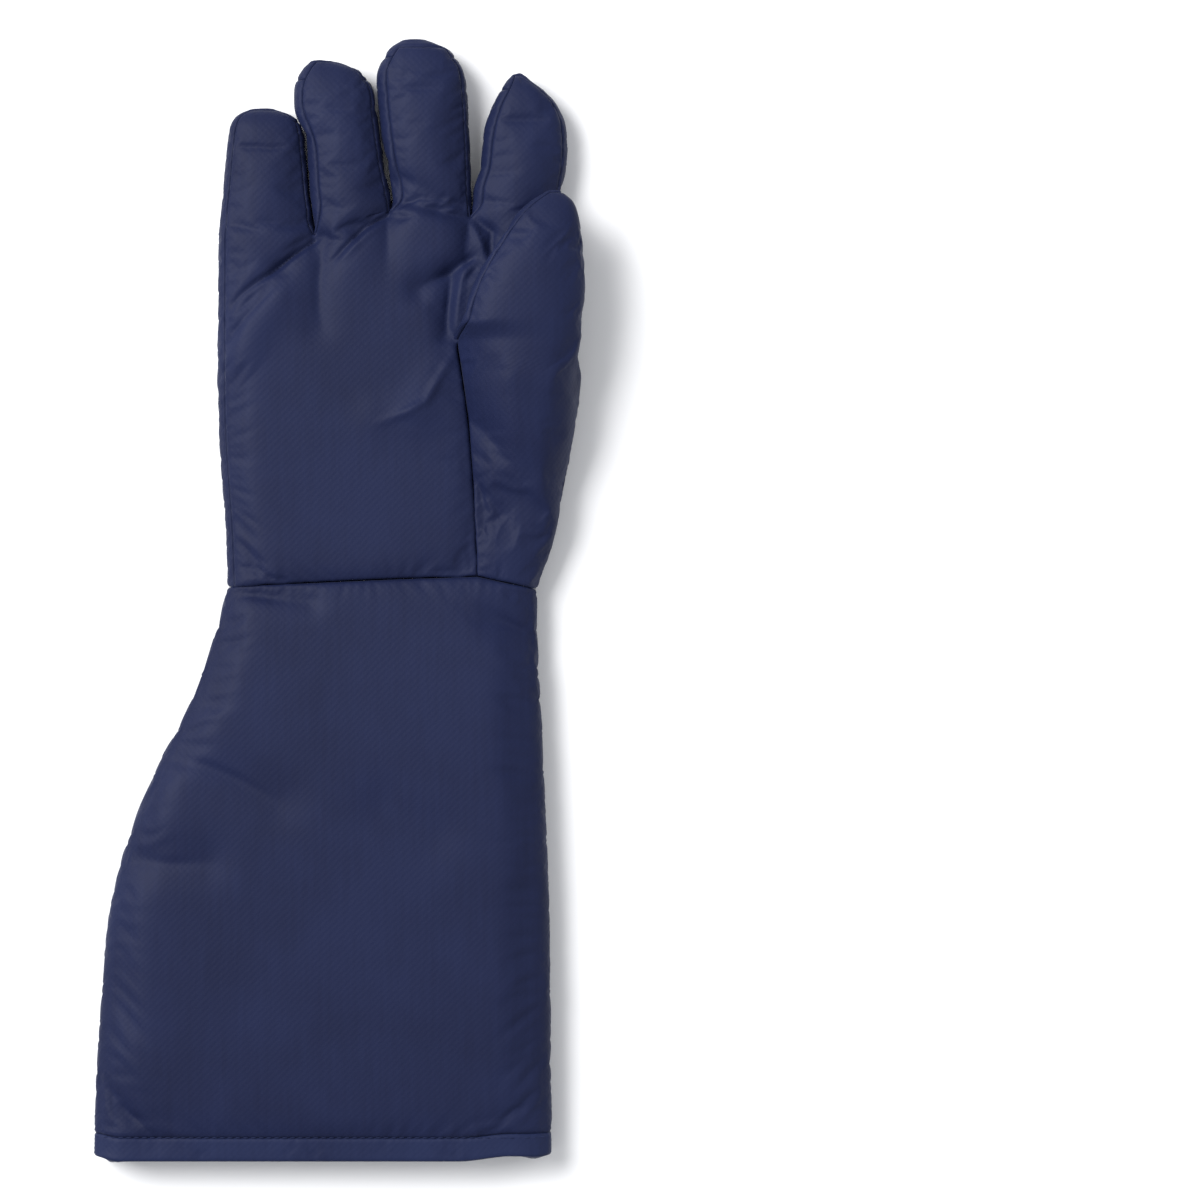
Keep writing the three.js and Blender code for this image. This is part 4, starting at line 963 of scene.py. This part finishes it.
def make_object(name, points, faces, uv, material):
    """A mesh object in the frame's metres, with four-sided faces, or three where two meet."""
    triangle = (faces == np.roll(faces, 1, axis=1)).any(axis=1)
    square = ~triangle
    repeat = (faces == np.roll(faces, 1, axis=1))[triangle]
    keep = ~repeat
    three = faces[triangle][keep].reshape(-1, 3) if triangle.any() else np.zeros((0, 3), int)
    three_uv = uv[triangle][keep].reshape(-1, 3, 2) if triangle.any() else np.zeros((0, 3, 2))
    mesh = bpy.data.meshes.new(name)
    mesh.from_pydata(((points + ORIGIN) * MM).tolist(), [], faces[square].tolist() + three.tolist())
    layer = mesh.uv_layers.new(name="cloth")
    flat = np.concatenate([uv[square].reshape(-1, 2), three_uv.reshape(-1, 2)])
    layer.data.foreach_set("uv", flat.astype(np.float32).ravel())
    mesh.shade_smooth()
    mesh.materials.append(material)
    piece = bpy.data.objects.new(name, mesh)
    bpy.context.scene.collection.objects.link(piece)
    return piece


# %% [markdown]
# The cloth is a fine navy nylon over wadding. Warp and weft make a faint raised grid, drawn
# here with a pitch of about three millimetres, because real threads are finer than a pixel.
# Seen from a step away it has soft clouds of lighter and darker blue: painted shade that
# stands in for the gentle undulations of the padding. The weave and the painted shade are a
# node group, so the shell and the hem can share it.

# %% Woven cloth and painted shade as a node group
def add_node(tree, kind, place, **settings):
    """A node of that kind at that place of the tree, with its settings made."""
    node = tree.nodes.new(kind)
    node.location = place
    for key, value in settings.items():
        setattr(node, key, value)
    return node


def weave_and_painted_shade_group():
    """Group with a height for bump and a mask of soft clouds of painted shade.

    Height = threads across times threads along plus a fine grain; clouds of painted shade = large noise."""
    group = bpy.data.node_groups.new("nylon_weave_and_painted_shade", "ShaderNodeTree")
    face = group.interface
    for name, kind, value in (("Cloth", "NodeSocketVector", None),
                              ("Place", "NodeSocketVector", None),
                              ("Threads", "NodeSocketFloat", 1900.0),
                              ("Shade cloud size", "NodeSocketFloat", 22.0)):
        socket = face.new_socket(name, in_out="INPUT", socket_type=kind)
        if value is not None:
            socket.default_value = value
    face.new_socket("Height", in_out="OUTPUT", socket_type="NodeSocketFloat")
    face.new_socket("Clouds", in_out="OUTPUT", socket_type="NodeSocketFloat")
    face.new_socket("Slubs", in_out="OUTPUT", socket_type="NodeSocketFloat")
    start = add_node(group, "NodeGroupInput", (-900, 0))
    end = add_node(group, "NodeGroupOutput", (500, 0))
    link = group.links.new
    scaled = add_node(group, "ShaderNodeVectorMath", (-700, 100), operation="SCALE")
    link(start.outputs["Cloth"], scaled.inputs[0])
    link(start.outputs["Threads"], scaled.inputs["Scale"])
    parts = add_node(group, "ShaderNodeSeparateXYZ", (-540, 100))
    link(scaled.outputs[0], parts.inputs[0])
    rows = []
    for axis, height in (("X", 160), ("Y", 0)):
        wave = add_node(group, "ShaderNodeMath", (-380, height), operation="SINE")
        link(parts.outputs[axis], wave.inputs[0])
        rows.append(wave)
    cross = add_node(group, "ShaderNodeMath", (-200, 80), operation="MULTIPLY")
    link(rows[0].outputs[0], cross.inputs[0])
    link(rows[1].outputs[0], cross.inputs[1])
    grain = add_node(group, "ShaderNodeTexNoise", (-380, -180))
    grain.inputs["Scale"].default_value = 900.0
    grain.inputs["Detail"].default_value = 2.0
    link(start.outputs["Place"], grain.inputs["Vector"])
    total = add_node(group, "ShaderNodeMath", (0, 40), operation="MULTIPLY_ADD")
    total.inputs[1].default_value = 0.35
    link(cross.outputs[0], total.inputs[0])
    link(grain.outputs[0], total.inputs[2])
    link(total.outputs[0], end.inputs["Height"])
    # Large noise for the clouds: painted shade standing in for the padding's gentle undulations.
    cloud = add_node(group, "ShaderNodeTexNoise", (-380, -380))
    cloud.inputs["Detail"].default_value = 4.0
    cloud.inputs["Roughness"].default_value = 0.55
    link(start.outputs["Place"], cloud.inputs["Vector"])
    link(start.outputs["Shade cloud size"], cloud.inputs["Scale"])
    link(cloud.outputs[0], end.inputs["Clouds"])
    stretch = add_node(group, "ShaderNodeVectorMath", (-560, -560), operation="MULTIPLY")
    stretch.inputs[1].default_value = (420.0, 26.0, 1.0)
    link(start.outputs["Cloth"], stretch.inputs[0])
    slub = add_node(group, "ShaderNodeTexNoise", (-380, -560))
    slub.inputs["Scale"].default_value = 1.0
    slub.inputs["Detail"].default_value = 2.0
    link(stretch.outputs[0], slub.inputs["Vector"])
    link(slub.outputs[0], end.inputs["Slubs"])
    return group


def cloth_material(name, dark, light, roughness, bump):
    """Principled cloth whose colour runs from dark to light with the clouds of painted shade and the
    slubs.
    """
    material = bpy.data.materials.new(name)
    material.use_nodes = True
    tree = material.node_tree
    link = tree.links.new
    shader = tree.nodes["Principled BSDF"]
    shader.inputs["Roughness"].default_value = roughness
    shader.inputs["Specular IOR Level"].default_value = 0.16
    shader.inputs["Sheen Weight"].default_value = 0.04
    shader.inputs["Sheen Roughness"].default_value = 0.45
    shader.inputs["Sheen Tint"].default_value = (0.55, 0.62, 0.95, 1.0)
    where = add_node(tree, "ShaderNodeTexCoord", (-900, 0))
    weave = add_node(tree, "ShaderNodeGroup", (-700, 0), node_tree=WEAVE_AND_PAINTED_SHADE)
    link(where.outputs["UV"], weave.inputs["Cloth"])
    link(where.outputs["Object"], weave.inputs["Place"])
    # The colour mixes the slubs of the yarn with the clouds of painted shade.
    blend = add_node(tree, "ShaderNodeMath", (-520, 160), operation="MULTIPLY_ADD")
    blend.inputs[1].default_value = 0.35
    link(weave.outputs["Slubs"], blend.inputs[0])
    link(weave.outputs["Clouds"], blend.inputs[2])
    ramp = add_node(tree, "ShaderNodeValToRGB", (-360, 160))
    ramp.color_ramp.elements[0].position = 0.45
    ramp.color_ramp.elements[0].color = (*dark, 1.0)
    ramp.color_ramp.elements[1].position = 0.85
    ramp.color_ramp.elements[1].color = (*light, 1.0)
    link(blend.outputs[0], ramp.inputs[0])
    link(ramp.outputs[0], shader.inputs["Base Color"])
    relief = add_node(tree, "ShaderNodeBump", (-300, -200))
    relief.inputs["Strength"].default_value = bump
    relief.inputs["Distance"].default_value = 0.0002
    link(weave.outputs["Height"], relief.inputs["Height"])
    link(relief.outputs[0], shader.inputs["Normal"])
    return material


WEAVE_AND_PAINTED_SHADE = weave_and_painted_shade_group()
# Both cloths carry the clouds of painted shade in their colour.
shell_cloth = cloth_material("shell_cloth", (0.0052, 0.0085, 0.0350), (0.0078, 0.0124, 0.0465), 0.6, 0.35)
hem_cloth = cloth_material("hem_cloth", (0.0078, 0.0122, 0.0445), (0.0112, 0.0175, 0.0580), 0.6, 0.35)
print("materials:", shell_cloth.name, hem_cloth.name)

# %% [markdown]
# Each padded panel takes the place of the plain solid of the same name, and rides on the
# glove's body. The rolled edges are narrow, because the real seams are thin sharp lines.

# %% Make the nine padded panels
# skin, node, thickness, slot, width and depth of the rolled edge
PANELS = (
    (gauntlet, "gauntlet_sleeve", PADDING, "shell_cloth", 1.4, 0.5),
    (gauntlet, "gauntlet_hem", HEM_THICKNESS, "hem_cloth", 1.3, 0.45),
    (hand, "palm_panel", PADDING, "shell_cloth", 1.4, 0.5),
    (hand, "back_panel", PADDING, "shell_cloth", 1.3, 0.45),
    (hand, "fourchette_little_ring", PADDING, "shell_cloth", 1.2, 0.4),
    (hand, "fourchette_ring_middle", PADDING, "shell_cloth", 1.2, 0.4),
    (hand, "fourchette_middle_index", PADDING, "shell_cloth", 1.2, 0.4),
    (thumb, "thumb_front", PADDING, "shell_cloth", 1.4, 0.5),
    (thumb, "thumb_back", PADDING, "shell_cloth", 1.3, 0.45),
)
MATERIALS = {"shell_cloth": shell_cloth, "hem_cloth": hem_cloth}
for seed, (skin, label, thickness, slot, width, roll) in enumerate(PANELS):
    shell = panel_shell(skin, label, thickness, 10 * seed, width, roll)
    piece = make_object(f"{label}_cloth", *shell, MATERIALS[slot])
    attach(piece, "root")
    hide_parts(label)
    print(piece.name, len(piece.data.polygons), "faces")

# %% [markdown]
# A single row of stitches holds the hem. Each stitch is a low oval that lies on the cloth, so
# its height comes from the nearest point of the skin under it. The underside rests on the
# table, so only the upper row is made.

# %% Stitches of the hem
STITCH_LINE_Y = -256.2
STITCH_PITCH = 3.6
STITCH_SIZE = (1.3, 0.28, 0.2)
STITCH_SIDES = 8
STITCH_ROWS = 5


def stitch_rings():
    """A small oval round the x axis: rows of points from its left tip to its right tip."""
    turn = np.linspace(0, math.pi, STITCH_ROWS)[:, None]
    round_angle = np.arange(STITCH_SIDES) * math.tau / STITCH_SIDES
    x = -np.cos(turn) + 0 * round_angle
    return np.stack([x, np.sin(turn) * np.cos(round_angle), np.sin(turn) * np.sin(round_angle)], -1)


def hem_stitches():
    """All stitches as one mesh: copies of the oval along the line, at the height of the cloth."""
    upper = gauntlet.points[(gauntlet.points[:, 2] > GAUNTLET_HEIGHT / 2)
                            & (np.abs(gauntlet.points[:, 1] - STITCH_LINE_Y) < 3)]
    x = np.arange(upper[:, 0].min() + 2.5, upper[:, 0].max() - 2.5, STITCH_PITCH)
    away = (upper[None, :, 0] - x[:, None]) ** 2 + (upper[None, :, 1] - STITCH_LINE_Y) ** 2
    z = upper[np.argmin(away, axis=1), 2]
    middles = np.stack([x, np.full_like(x, STITCH_LINE_Y), z - 0.04], -1)
    oval = stitch_rings()[1:-1] * STITCH_SIZE
    tips = np.array([[-1.0, 0, 0], [1.0, 0, 0]]) * STITCH_SIZE
    one = np.concatenate([oval.reshape(-1, 3), tips])
    ring = np.arange(STITCH_SIDES)
    following = np.roll(ring, -1)
    sides = [np.stack([ring + k, following + k, following + k + STITCH_SIDES, ring + k + STITCH_SIDES], -1)
             for k in range(0, STITCH_SIDES * (STITCH_ROWS - 3), STITCH_SIDES)]
    last = STITCH_SIDES * (STITCH_ROWS - 3)
    low, high = len(one) - 2, len(one) - 1
    ends = [np.stack([following, ring, 0 * ring + low, 0 * ring + low], -1),
            np.stack([ring + last, following + last, 0 * ring + high, 0 * ring + high], -1)]
    faces = np.concatenate(sides + ends)[:, ::-1]
    points = (middles[:, None] + one[None]).reshape(-1, 3)
    every = (faces[None] + (np.arange(len(x)) * len(one))[:, None, None]).reshape(-1, 4)
    return points, every, np.zeros((len(every), 4, 2))


stitches = make_object("hem_stitches", *hem_stitches(), hem_cloth)
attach(stitches, "root")
print(stitches.name, len(stitches.data.polygons), "faces")

# %% [markdown]
# The camera looks straight down, as the photograph does, from about two metres, and takes
# in the width of a pair although only one glove lies there.

# %% Camera
PHOTO_WIDTH = 0.5572
PHOTO_CENTRE = (0.1203, 0.0005)
LENS = 135.0
SENSOR = 36.0
camera_data = bpy.data.cameras.new("camera")
camera_data.lens = LENS
camera_data.sensor_width = SENSOR
camera = bpy.data.objects.new("camera", camera_data)
camera.location = (*PHOTO_CENTRE, 0.010 + PHOTO_WIDTH * LENS / SENSOR)
bpy.context.scene.collection.objects.link(camera)
bpy.context.scene.camera = camera
print("camera height:", round(camera.location.z, 3))

# %% [markdown]
# The glove lies on white paper. One large soft light stands for a window at the upper left;
# a weak one on the right and a pale world keep the dark side readable.

# %% Floor and light
FLOOR_REACH = 4.0
floor_mesh = bpy.data.meshes.new("floor")
corners = [(x * FLOOR_REACH, y * FLOOR_REACH, 0) for x, y in ((-1, -1), (1, -1), (1, 1), (-1, 1))]
floor_mesh.from_pydata(corners, [], [(0, 1, 2, 3)])
floor = bpy.data.objects.new("floor", floor_mesh)
bpy.context.scene.collection.objects.link(floor)
paper = bpy.data.materials.new("pale_paper")
paper.use_nodes = True
paper.node_tree.nodes["Principled BSDF"].inputs["Base Color"].default_value = (0.92, 0.92, 0.93, 1.0)
paper.node_tree.nodes["Principled BSDF"].inputs["Roughness"].default_value = 0.9
floor_mesh.materials.append(paper)


def soft_light(name, place, size, power_watts):
    """A square area light at a place, turned to face the glove."""
    data = bpy.data.lights.new(name, "AREA")
    data.size = size
    data.energy = power_watts
    light = bpy.data.objects.new(name, data)
    x, y, z = place
    light.location = place
    light.rotation_euler = (math.atan2(math.hypot(x, y), z), 0.0, math.atan2(x, -y))
    bpy.context.scene.collection.objects.link(light)
    return light


soft_light("window_left", (-1.3, 0.8, 1.8), 1.4, 76.0)
soft_light("fill_right", (1.4, -0.3, 1.8), 1.8, 8.0)
world = bpy.data.worlds.new("studio")
world.use_nodes = True
world.node_tree.nodes["Background"].inputs["Color"].default_value = (0.95, 0.97, 1.0, 1.0)
world.node_tree.nodes["Background"].inputs["Strength"].default_value = 0.55
bpy.context.scene.world = world
bpy.context.scene.view_settings.view_transform = "Standard"
